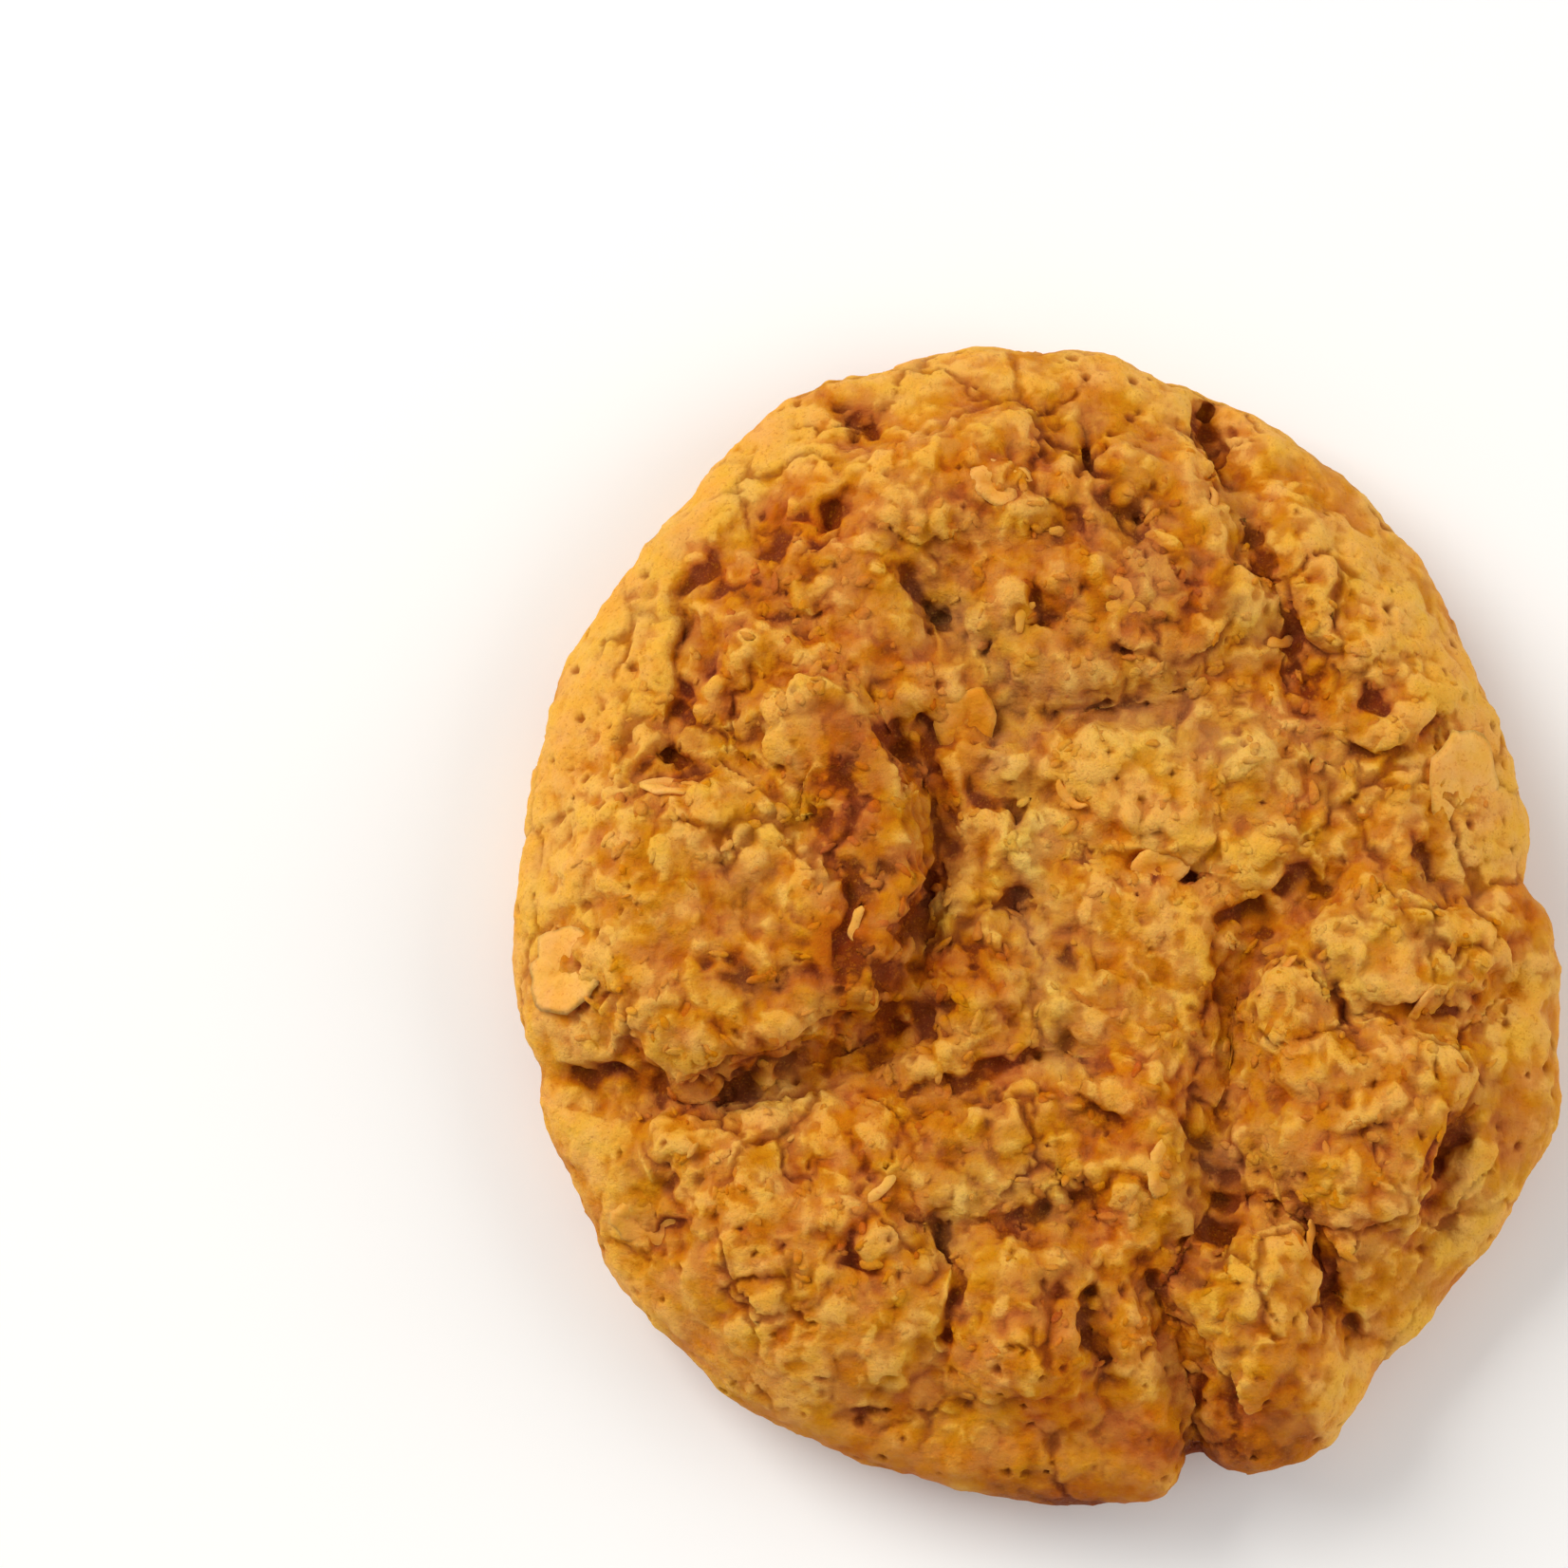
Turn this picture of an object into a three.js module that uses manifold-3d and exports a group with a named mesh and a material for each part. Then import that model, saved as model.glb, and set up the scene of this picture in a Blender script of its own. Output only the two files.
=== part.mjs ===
// A chunky oat biscuit, rolled by hand and baked on a tray. It lies on its flat base with the craggy face up.
// Millimetres, +Z up, +Y towards the face's top edge, the origin at the middle of the base.
// It is one solid: a rounded skin of dough with crags and oat flakes fused on, crevices, fissures and pits
// cut in, and the base cut flat where the tray was.

import * as THREE from "three";
import { ImprovedNoise } from "three/addons/math/ImprovedNoise.js";
import { mergeVertices } from "three/addons/utils/BufferGeometryUtils.js";
import Module from "manifold-3d";

// Driving dimensions.
const MEAN_DIAMETER = 80;
const CROWN_HEIGHT = 13.2; // the dough at the middle of the face, before the crags
const CROWN_DISH = 0.5; // how far the middle lies below the shoulder
const WIDEST_HEIGHT = 6; // where the side bulges furthest out
const TRAY_INSET = 3; // how far the base's edge lies inside the widest line

const MEAN_RADIUS = MEAN_DIAMETER / 2;
const DEGREE = Math.PI / 180;

// In the tables of features, plan values are hundredths of the mean radius and heights are hundredths of the
// crown's height. This gives a row of a table in millimetres.
function sized(row) {
  const plan = (value) => (Array.isArray(value) ? value.map(plan) : (value * MEAN_RADIUS) / 100);
  const inMillimetres = { ...row };
  for (const key of ["at", "half", "through", "width"]) {
    if (key in row) inMillimetres[key] = plan(row[key]);
  }
  for (const key of ["rise", "depth"]) {
    if (key in row) inMillimetres[key] = (row[key] * CROWN_HEIGHT) / 100;
  }
  return inMillimetres;
}

// The outline from above: slow waves on the mean circle, and dents where a crack reaches the edge. A dent of
// negative depth is a bulge. Bearings are in degrees, anticlockwise from +X.
const OUTLINE_WAVES = [
  { count: 1, rise: 1.05, peak: 85 },
  { count: 2, rise: 2.3, peak: 99 },
  { count: 3, rise: 0.6, peak: 87 },
  { count: 6, rise: 0.3, peak: 46 },
];
const OUTLINE_DENTS = [
  { bearing: 7, half: 4, depth: 1.7 },
  { bearing: 69, half: 3, depth: 0.3 },
  { bearing: 112, half: 10, depth: -1 },
  { bearing: 128, half: 4, depth: 1.4 },
  { bearing: 195, half: 4, depth: 0.9 },
  { bearing: 287, half: 4, depth: 2.5 },
  { bearing: 299, half: 7, depth: -1.2 },
  { bearing: 309, half: 4, depth: 1 },
  { bearing: 318, half: 7, depth: 0.7 },
  { bearing: 341, half: 10, depth: -1.3 },
];

// The skin's profile at the mean radius, from the crown, over the shoulder and the bulge, to below the tray.
const PROFILE = new THREE.SplineCurve([
  new THREE.Vector2(0, CROWN_HEIGHT),
  new THREE.Vector2(0.4 * MEAN_RADIUS, CROWN_HEIGHT + 0.3 * CROWN_DISH),
  new THREE.Vector2(0.72 * MEAN_RADIUS, CROWN_HEIGHT + CROWN_DISH),
  new THREE.Vector2(0.88 * MEAN_RADIUS, 0.83 * CROWN_HEIGHT),
  new THREE.Vector2(0.97 * MEAN_RADIUS, 1.5 * WIDEST_HEIGHT),
  new THREE.Vector2(MEAN_RADIUS, WIDEST_HEIGHT),
  new THREE.Vector2(MEAN_RADIUS - 0.3 * TRAY_INSET, 0.45 * WIDEST_HEIGHT),
  new THREE.Vector2(MEAN_RADIUS - TRAY_INSET, 0),
  new THREE.Vector2(0.7 * MEAN_RADIUS, -0.8 * WIDEST_HEIGHT),
  new THREE.Vector2(0, -WIDEST_HEIGHT),
]);
const SHOULDER_ALONG = 0.4; // shares of the profile's length
const WIDEST_ALONG = 0.52;
const TRAY_ALONG = 0.6;
const TRAY_POLAR = 130 * DEGREE; // the ball's polar angle at the tray line, so the face gets most facets

// The dough's own unevenness, as bumps of a size and a depth. The face is rougher than the rim and the side.
const SKIN_DETAIL = 20;
const SKIN_BUMPS = [
  { size: 11, depth: 0.9, rim: 1 },
  { size: 4.6, depth: 0.8, rim: 0.6 },
  { size: 2.7, depth: 0.7, rim: 0.5 },
];

// Crags: lumps of dough and oats that stand up from the skin, flat on top and steep at their ragged edges.
// half is along and across, turn is in degrees.
const CRAG_FLAT = 0.8; // the share of a crag's reach that is flat
const CRAG_RAGGED = { size: 4, share: 0.3 };
const CRAGS = [
  { name: "left mass", at: [-60, 6], half: [31, 25], turn: 0, rise: 17 },
  { name: "cliff slab", at: [-33, 10], half: [27, 10], turn: 92, rise: 27 },
  { name: "slab head", at: [-40, 35], half: [11, 8], turn: 10, rise: 24 },
  { name: "lobe foot", at: [-50, -12], half: [26, 10], turn: 12, rise: 22 },
  { name: "upper shelf", at: [-41, 56], half: [24, 19], turn: 25, rise: 9 },
  { name: "top edge", at: [-18, 82], half: [28, 14], turn: 5, rise: 11 },
  { name: "top right", at: [18, 78], half: [15, 10], turn: -30, rise: 9 },
  { name: "upper middle", at: [11, 56], half: [25, 14], turn: 0, rise: 14 },
  { name: "right edge", at: [59, 52], half: [32, 14], turn: -58, rise: 11 },
  { name: "middle north", at: [18, 26], half: [15, 11], turn: -10, rise: 8 },
  { name: "middle", at: [12, 4], half: [13, 8], turn: 0, rise: 8 },
  { name: "middle west", at: [-9, 30], half: [10, 6], turn: 0, rise: 5 },
  { name: "west knob", at: [-7, 16], half: [6, 5], turn: 0, rise: 7 },
  { name: "east knob", at: [42, 30], half: [8, 7], turn: 0, rise: 12 },
  { name: "small east knob", at: [40, 18], half: [6, 6], turn: 0, rise: 7 },
  { name: "south west", at: [-15, -10], half: [10, 10], turn: 0, rise: 8 },
  { name: "south", at: [11, -14], half: [11, 8], turn: -30, rise: 9 },
  { name: "dimple lump", at: [42, -15], half: [10, 8], turn: 70, rise: 16 },
  { name: "east", at: [64, -5], half: [21, 12], turn: 0, rise: 12 },
  { name: "south east", at: [60, -35], half: [21, 19], turn: -20, rise: 14 },
  { name: "low east", at: [42, -68], half: [20, 14], turn: -65, rise: 14 },
  { name: "low middle", at: [-2, -68], half: [16, 15], turn: 0, rise: 12 },
  { name: "low west", at: [-38, -60], half: [26, 20], turn: -20, rise: 11 },
  { name: "lower band", at: [-18, -40], half: [24, 11], turn: 0, rise: 9 },
  { name: "lower right band", at: [15, -35], half: [12, 14], turn: 0, rise: 12 },
].map(sized);

// Crevices in the face: lines through a few points where the skin sinks. The deep ones are also cut as slots.
const CREVICE_LIP = 1.1; // how far the skin sinks on either side beyond the crevice's own half-width
const CREVICE_SINK = 0.7; // the share of the depth by which the skin sinks
const SLOT_FROM = 2.7; // the depth from which a crevice is cut as a slot
const SLOT_STEP = 2.2;
const SLOT_OPEN = 3; // how far the cut reaches above the dough, through the crags on it
const SLOT_RAGGED = { size: 2.2, sideways: 0.9, width: 0.6 };
const CREVICES = [
  {
    name: "under the lobe",
    width: 6,
    depth: 35,
    through: [[-82, -28], [-70, -29], [-55, -30], [-40, -24], [-21, -16]],
  },
  {
    name: "foot of the cliff",
    width: 6,
    depth: 21,
    through: [[-24, 34], [-19, 22], [-18, 12], [-20, 0], [-21, -15]],
  },
  { name: "behind the slab", width: 4, depth: 20, through: [[-36, 28], [-39, 17], [-34, 5], [-35, -7]] },
  {
    name: "across the middle",
    width: 3.25,
    depth: 20,
    through: [[-25, -30], [-12, -29], [-5, -25], [2, -21], [10, -24]],
  },
  {
    name: "above the middle",
    width: 3,
    depth: 18,
    through: [[-26, 34], [-12, 37], [0, 35], [12, 40], [28, 44]],
  },
  { name: "rim slot", width: 6.5, depth: 38, through: [[32, 102], [33.5, 92], [36, 81]] },
  {
    name: "inside the right rim",
    width: 4.25,
    depth: 24,
    through: [[32, 82], [37, 74], [41, 66], [44, 55], [49, 44]],
  },
  { name: "right rim branch", width: 3, depth: 17, through: [[46, 32], [55, 29], [64, 30], [75, 36]] },
  {
    name: "right crevice",
    width: 5.5,
    depth: 29,
    through: [[51, 7], [42, 2], [36, -4], [35, -14], [34, -26], [29, -37], [32, -53]],
  },
  {
    name: "low right arc",
    width: 4,
    depth: 24,
    through: [[29, -51], [40, -50], [48, -55], [52, -65], [62, -74]],
  },
  {
    name: "low fissure",
    width: 5,
    depth: 29,
    through: [[31, -50], [21, -65], [26, -75], [28, -88], [26, -101]],
  },
  { name: "low slit", width: 4, depth: 21, through: [[7, -64], [9, -75], [11, -88]] },
  { name: "low middle crack", width: 3.5, depth: 20, through: [[-22, -52], [-16, -62], [-18, -76]] },
  {
    name: "bottom rim line",
    width: 2.75,
    depth: 14,
    through: [[-52, -86], [-30, -86], [-12, -86], [0, -91]],
  },
  { name: "left slit", width: 3.5, depth: 17, through: [[-71, -39], [-66, -49], [-70, -59]] },
  { name: "east crack", width: 2.75, depth: 15, through: [[58, -15], [70, -16], [84, -14]] },
  { name: "east slit", width: 4.5, depth: 21, through: [[76, -32], [72, -42], [70, -51]] },
  {
    name: "inside the left rim",
    width: 3.75,
    depth: 17,
    through: [[-70, 24], [-65, 40], [-60, 55], [-51, 69], [-32, 76]],
  },
].map(sized);

// Pits: small holes between the crags.
const PIT_LIP = 0.8; // how far the skin sinks beyond the pit's own half-lengths
const PITS = [
  { at: [-20, 57], half: [6, 3.8], turn: -60, depth: 24 },
  { at: [1, 55], half: [3.5, 3.2], turn: 0, depth: 23 },
  { at: [20, 74], half: [4, 3], turn: -50, depth: 23 },
  { at: [10, 85], half: [2.8, 2.2], turn: 0, depth: 17 },
  { at: [-4, 84], half: [2.5, 2], turn: 90, depth: 15 },
  { at: [-31, 92], half: [4.2, 2.5], turn: -20, depth: 18 },
  { at: [-36, 75], half: [3.5, 2.5], turn: 60, depth: 17 },
  { at: [-66, 28], half: [4.2, 2.5], turn: -10, depth: 20 },
  { at: [-54, 39], half: [3, 2.2], turn: 30, depth: 15 },
  { at: [-41, 54], half: [4, 2], turn: 0, depth: 15 },
  { at: [-56, 10], half: [8, 3.8], turn: 80, depth: 9 },
  { at: [29, 9], half: [5, 2.8], turn: 10, depth: 20 },
  { at: [-3, 23], half: [3.5, 2], turn: -25, depth: 17 },
  { at: [-4, 4], half: [3, 2.8], turn: 0, depth: 20 },
  { at: [29, 59], half: [2.8, 2.2], turn: 0, depth: 15 },
  { at: [47, 50], half: [6, 4.5], turn: 30, depth: 17 },
  { at: [60, 40], half: [3.5, 2], turn: 10, depth: 15 },
  { at: [72, 36], half: [4, 2], turn: 10, depth: 17 },
  { at: [70, 10], half: [5.5, 3], turn: -60, depth: 18 },
  { at: [48, 6], half: [5.5, 3], turn: 10, depth: 21 },
  { at: [15, 49], half: [3.5, 2], turn: 10, depth: 15 },
  { at: [8, -50], half: [3.8, 2.2], turn: 20, depth: 20 },
  { at: [-1, -52], half: [3.2, 2], turn: 0, depth: 17 },
  { at: [11, -34], half: [4.2, 2], turn: -20, depth: 15 },
  { at: [-32, -60], half: [3.8, 2.8], turn: 90, depth: 20 },
  { at: [-41, -45], half: [2.5, 2.2], turn: 0, depth: 14 },
  { at: [20, -65], half: [5, 4.5], turn: 60, depth: 23 },
  { at: [58, -38], half: [4.2, 2], turn: 20, depth: 15 },
  { at: [-78, -28], half: [4.7, 3], turn: 0, depth: 23 },
  { at: [-56, -30], half: [5, 3.5], turn: 15, depth: 38 },
].map(sized);

// Oat flakes: rolled oats that break the surface. Two large ones lie on the rim, the rest are spread evenly.
const FLAKE_THICKNESS = 1;
const FLAKE_SUNK = 0.15; // of the thickness, so that the flake's middle lies just under the skin
const RIM_FLAKES = [
  { at: [79, 23], half: [12, 8], turn: 70 },
  { at: [-84, -10], half: [9, 8], turn: 20 },
].map(sized);
const LOOSE_FLAKES = { count: 15, half: [3, 2.2], spread: 0.2, lean: 10, from: 0.06, to: 0.44 };

// Fissures round the side, where the rim split as the biscuit spread.
const FISSURES = { count: 13, width: [0.9, 1.8], depth: [1.2, 2.4], wander: 3, seed: 40 };

const CREVICE_LINES = CREVICES.map(({ through, width, depth }) => {
  const curve = new THREE.SplineCurve(through.map(([x, y]) => new THREE.Vector2(x, y)));
  return { line: curve.getSpacedPoints(Math.ceil(curve.getLength() / SLOT_STEP)), width, depth };
});

const wasm = await Module();
wasm.setup();
const noise = new ImprovedNoise();

// A repeatable random number from low to high.
function draw(low, high) {
  return low + (high - low) * THREE.MathUtils.seededRandom();
}

// A smooth bump that is 1 in the middle and 0 from one half-width out.
function bump(distance) {
  const inside = Math.max(0, 1 - distance * distance);
  return inside * inside;
}

// Noise at a point for bumps of the given size, between about -1 and 1.
function bumpiness(point, size) {
  return noise.noise(point.x / size, point.y / size, point.z / size);
}

function outlineRadius(bearing) {
  let radius = MEAN_RADIUS;
  for (const { count, rise, peak } of OUTLINE_WAVES) {
    radius += rise * Math.cos(count * (bearing - peak * DEGREE));
  }
  for (const dent of OUTLINE_DENTS) {
    const away = THREE.MathUtils.euclideanModulo(bearing / DEGREE - dent.bearing + 180, 360) - 180;
    radius -= dent.depth * bump(away / dent.half);
  }
  return radius;
}

// A point of the smooth skin and its outward normal, at a bearing and a share of the profile's length.
function skinAt(bearing, along) {
  const place = PROFILE.getPointAt(along);
  const run = PROFILE.getTangentAt(along);
  const out = new THREE.Vector3(Math.cos(bearing), Math.sin(bearing), 0);
  const reach = (place.x * outlineRadius(bearing)) / MEAN_RADIUS;
  const point = out.clone().multiplyScalar(reach).setZ(place.y);
  const normal = out.clone().multiplyScalar(-run.y).setZ(run.x).normalize();
  return { point, normal };
}

// The skin's upper side over a point of the plan, found by halving the profile above the widest line.
function skinOver(x, y) {
  const bearing = Math.atan2(y, x);
  const reach = (Math.hypot(x, y) * MEAN_RADIUS) / outlineRadius(bearing);
  let [low, high] = [0, WIDEST_ALONG];
  for (let halving = 0; halving < 24; halving++) {
    const middle = (low + high) / 2;
    if (PROFILE.getPointAt(middle).x < reach) low = middle;
    else high = middle;
  }
  return skinAt(bearing, low);
}

// The share of the profile's length for a polar angle on the ball.
function alongAt(polar) {
  if (polar < TRAY_POLAR) return (TRAY_ALONG * polar) / TRAY_POLAR;
  return THREE.MathUtils.mapLinear(polar, TRAY_POLAR, Math.PI, TRAY_ALONG, 1);
}

// A geometry with only its positions, and its shared vertices merged.
function welded(geometry) {
  geometry.deleteAttribute("normal");
  geometry.deleteAttribute("uv");
  return mergeVertices(geometry, 1e-3);
}

// A welded ball of unit radius whose vertices a function moves in place.
function movedBall(detail, move) {
  const ball = welded(new THREE.IcosahedronGeometry(1, detail));
  const positions = ball.getAttribute("position");
  const vertex = new THREE.Vector3();
  for (let i = 0; i < positions.count; i++) {
    move(vertex.fromBufferAttribute(positions, i));
    positions.setXYZ(i, vertex.x, vertex.y, vertex.z);
  }
  return ball;
}

function solid(geometry) {
  return new wasm.Manifold(
    new wasm.Mesh({
      numProp: 3,
      vertProperties: geometry.getAttribute("position").array,
      triVerts: new Uint32Array(geometry.index.array),
    }),
  );
}

// The largest body alone, so that loose scraps go and sealed hollows are filled.
function largest(joined) {
  return joined.decompose().reduce((a, b) => (a.volume() > b.volume() ? a : b));
}

// The distance from the middle of an oval, in shares of its half-lengths.
function ovalReach(point, { at, half, turn }, lip) {
  const away = new THREE.Vector2(point.x - at[0], point.y - at[1]);
  away.rotateAround(new THREE.Vector2(), -turn * DEGREE);
  return Math.hypot(away.x / (half[0] + lip), away.y / (half[1] + lip));
}

function cragRise(point, crag) {
  const ragged = CRAG_RAGGED.share * bumpiness(point, CRAG_RAGGED.size);
  return crag.rise * (1 - THREE.MathUtils.smoothstep(ovalReach(point, crag, 0) + ragged, CRAG_FLAT, 1));
}

function pitDrop(point, pit) {
  return pit.depth * bump(ovalReach(point, pit, PIT_LIP));
}

function creviceDrop(point, { line, width, depth }) {
  const away = Math.min(...line.map((place) => Math.hypot(point.x - place.x, point.y - place.y)));
  return CREVICE_SINK * depth * bump(away / (width / 2 + CREVICE_LIP));
}

// How far the face stands above the smooth skin at a point: crags up, crevices and pits down.
function relief(point) {
  const rises = CRAGS.map((crag) => cragRise(point, crag));
  const sinks = CREVICE_LINES.map((crevice) => creviceDrop(point, crevice));
  const holes = PITS.map((pit) => pitDrop(point, pit));
  return Math.max(...rises) - Math.max(...sinks, ...holes);
}

function doughSkin() {
  return movedBall(SKIN_DETAIL, (vertex) => {
    const bearing = Math.atan2(vertex.y, vertex.x);
    const along = alongAt(Math.acos(THREE.MathUtils.clamp(vertex.z, -1, 1)));
    const { point, normal } = skinAt(bearing, along);
    vertex.copy(point);
    const inner = 1 - THREE.MathUtils.smoothstep(along, 0.8 * SHOULDER_ALONG, SHOULDER_ALONG);
    for (const { size, depth, rim } of SKIN_BUMPS) {
      vertex.addScaledVector(normal, THREE.MathUtils.lerp(rim, 1, inner) * depth * bumpiness(point, size));
    }
    const upper = 1 - THREE.MathUtils.smoothstep(along, SHOULDER_ALONG, WIDEST_ALONG);
    vertex.z += upper * relief(point);
  });
}

// A groove along a row of skin points: three corners at each step, and one point at each end.
function groove(steps, width, depth) {
  const corners = [];
  const faces = [];
  const last = steps.length - 1;
  steps.forEach(({ point, normal }, i) => {
    const ahead = steps[Math.min(i + 1, last)].point;
    const behind = steps[Math.max(i - 1, 0)].point;
    const side = new THREE.Vector3().crossVectors(normal, ahead.clone().sub(behind)).normalize();
    const sideways = SLOT_RAGGED.sideways * bumpiness(point, SLOT_RAGGED.size);
    const sway = point.clone().addScaledVector(side, sideways);
    if (i === 0 || i === last) {
      corners.push(sway);
      return;
    }
    const taper = Math.sin((Math.PI * i) / last) ** 0.6;
    const opening = 1 + SLOT_RAGGED.width * bumpiness(sway, SLOT_RAGGED.size);
    const reach = (0.5 * width * taper * opening * (depth + SLOT_OPEN)) / depth;
    const above = sway.clone().addScaledVector(normal, SLOT_OPEN);
    corners.push(sway.clone().addScaledVector(normal, -depth * taper));
    corners.push(above.clone().addScaledVector(side, reach));
    corners.push(above.clone().addScaledVector(side, -reach));
  });
  const end = corners.length - 1;
  for (let k = 0; k < 3; k++) {
    const next = (k + 1) % 3;
    faces.push(0, 1 + next, 1 + k);
    for (let i = 1; i < last - 1; i++) {
      const [a, b] = [1 + 3 * (i - 1), 1 + 3 * i];
      faces.push(a + k, a + next, b + next, a + k, b + next, b + k);
    }
    const a = 1 + 3 * (last - 2);
    faces.push(a + k, a + next, end);
  }
  const geometry = new THREE.BufferGeometry().setFromPoints(corners);
  return geometry.setIndex(faces);
}

function slot({ line, width, depth }) {
  return groove(line.map(({ x, y }) => skinOver(x, y)), width, depth);
}

function fissure(index) {
  const bearing = ((index + draw(-0.35, 0.35)) * 2 * Math.PI) / FISSURES.count;
  const top = draw(SHOULDER_ALONG, WIDEST_ALONG - 0.04);
  const steps = [];
  for (let along = TRAY_ALONG + 0.05; along > top; along -= 0.03) {
    steps.push(skinAt(bearing + FISSURES.wander * DEGREE * noise.noise(index, 20 * along, 0), along));
  }
  return groove(steps, draw(...FISSURES.width), draw(...FISSURES.depth));
}

// A rolled oat: a thin oval lens that lies on the skin, turned in its own plane and leaning a little.
function flake({ point, normal }, half, turn, lean) {
  const geometry = welded(new THREE.SphereGeometry(1, 8, 4));
  geometry.rotateX(Math.PI / 2);
  geometry.scale(half[0], half[1], FLAKE_THICKNESS / 2);
  geometry.rotateX(lean * DEGREE);
  geometry.rotateZ(turn * DEGREE);
  const lie = new THREE.Quaternion().setFromUnitVectors(new THREE.Vector3(0, 0, 1), normal);
  const middle = point.clone().addScaledVector(normal, relief(point) - FLAKE_SUNK * FLAKE_THICKNESS);
  return geometry.applyQuaternion(lie).translate(...middle);
}

function looseFlakes() {
  const { count, half, spread, lean, from, to } = LOOSE_FLAKES;
  const goldenTurn = Math.PI * (3 - Math.sqrt(5));
  return Array.from({ length: count }, (_, i) => {
    const along = from + (to - from) * Math.sqrt((i + 0.5) / count);
    const size = half.map((length) => length * (1 + draw(-spread, spread)));
    return flake(skinAt(i * goldenTurn, along), size, draw(0, 360), draw(-lean, lean));
  });
}

function trayBlock() {
  const block = welded(new THREE.BoxGeometry(2 * MEAN_DIAMETER, 2 * MEAN_DIAMETER, MEAN_DIAMETER));
  return block.translate(0, 0, -MEAN_DIAMETER / 2);
}

function bakedBiscuit() {
  THREE.MathUtils.seededRandom(FISSURES.seed);
  const fissures = Array.from({ length: FISSURES.count }, (_, i) => fissure(i));
  const rimFlakes = RIM_FLAKES.map(({ at, half, turn }) => flake(skinOver(...at), half, turn, 0));
  const flakes = [...rimFlakes, ...looseFlakes()];
  const { Manifold } = wasm;
  const slots = CREVICE_LINES.filter(({ depth }) => depth >= SLOT_FROM).map(slot);
  const cuts = [...slots, ...fissures];
  const craggy = solid(doughSkin()).subtract(Manifold.union(cuts.map(solid)));
  const whole = craggy.add(Manifold.union(flakes.map(solid)));
  return largest(whole.subtract(solid(trayBlock())));
}

function geometryOf(body) {
  const { vertProperties, triVerts } = body.getMesh();
  const geometry = new THREE.BufferGeometry();
  geometry.setAttribute("position", new THREE.BufferAttribute(vertProperties, 3));
  geometry.setIndex(new THREE.BufferAttribute(triVerts, 1));
  geometry.computeBoundingBox();
  const middle = geometry.boundingBox.getCenter(new THREE.Vector3());
  geometry.translate(-middle.x, -middle.y, 0);
  geometry.computeVertexNormals();
  return geometry;
}

const bakedDough = new THREE.MeshStandardMaterial({ color: 0xd08f3c, roughness: 0.85, metalness: 0 });

const biscuit = new THREE.Mesh(geometryOf(bakedBiscuit()), bakedDough);
biscuit.name = "biscuit";

const part = new THREE.Group();
part.add(biscuit);

export default part;
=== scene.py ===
"""Looks of a chunky oat biscuit that lies face up: its crumbly crust, oat flakes, coconut shreds and crumbs.

Everything is in metres in the part's own frame: +Z up through the craggy face, +Y towards the face's top edge
and the origin at the middle of the flat base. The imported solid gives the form. The crust is that solid,
finely remeshed and roughened, and the small pieces lie on the crust.
"""

import logging
import math
from dataclasses import dataclass, field
from enum import Enum, IntEnum
from typing import ClassVar

import bmesh
import bpy
import numpy as np
from mathutils import Matrix, Vector
from mathutils.bvhtree import BVHTree

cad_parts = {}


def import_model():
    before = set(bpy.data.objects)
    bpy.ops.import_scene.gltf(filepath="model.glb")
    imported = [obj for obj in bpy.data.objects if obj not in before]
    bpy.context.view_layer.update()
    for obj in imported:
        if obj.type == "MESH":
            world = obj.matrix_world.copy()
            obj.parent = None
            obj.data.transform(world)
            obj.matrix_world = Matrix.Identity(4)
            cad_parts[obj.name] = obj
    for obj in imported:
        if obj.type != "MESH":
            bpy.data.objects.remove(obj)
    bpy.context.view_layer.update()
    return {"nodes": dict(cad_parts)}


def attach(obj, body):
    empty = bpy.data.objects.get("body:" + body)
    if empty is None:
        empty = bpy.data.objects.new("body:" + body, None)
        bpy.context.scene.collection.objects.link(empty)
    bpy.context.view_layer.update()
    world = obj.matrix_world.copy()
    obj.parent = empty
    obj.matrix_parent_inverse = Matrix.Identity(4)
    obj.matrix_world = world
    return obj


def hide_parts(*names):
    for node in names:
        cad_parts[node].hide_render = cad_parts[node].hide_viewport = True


LOG = logging.getLogger("biscuit")
MM = 0.001
SOLID_NODE = "biscuit"
BODY = "root"
GOLDEN_ANGLE = 2.39996
Rgba = tuple[float, float, float, float]
Pair = tuple[float, float]
Socket = bpy.types.NodeSocket


class Mask(Enum):
    """Values stored on the meshes' points, which the finishes read."""

    # How hollow a point is; the finishes darken hollows with it, as painted shade.
    HOLLOW_SHADE = "hollow_shade"
    # Where the pores and cracks are, which the crust's finish paints dark as shade.
    PORE = "pore"
    # How brown a point is, with the marks' painted shade and painted light in it.
    TOAST_AND_PAINTED_LIGHT = "toast"
    CREAM = "cream"


class Pattern(IntEnum):
    """Which of the noise field's many patterns each kind of relief follows."""

    PORE = 60
    PORE_SIZE = 65
    RAGGED = 100
    SWELL = 200
    TONE = 230
    PLATE_EDGE = 250
    GRANULE = 300
    GRAIN = 500
    RUGGED = 600
    WANDER = 640
    SWING = 680
    BASE = 700
    BROKEN = 740
    CRACK_BEND = 800
    CRACK = 950
    CRACK_OPEN = 970


def from_screen(red: int, green: int, blue: int) -> Rgba:
    """A screen colour of 0 to 255 as a linear colour.

    Args:
        red: Red as a screen shows it.
        green: Green as a screen shows it.
        blue: Blue as a screen shows it.

    Returns:
        The linear colour with full alpha.
    """
    shares = [value / 255 for value in (red, green, blue)]
    linear = [s / 12.92 if s <= 0.04045 else ((s + 0.055) / 1.055) ** 2.4 for s in shares]
    return (*linear, 1.0)


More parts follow.
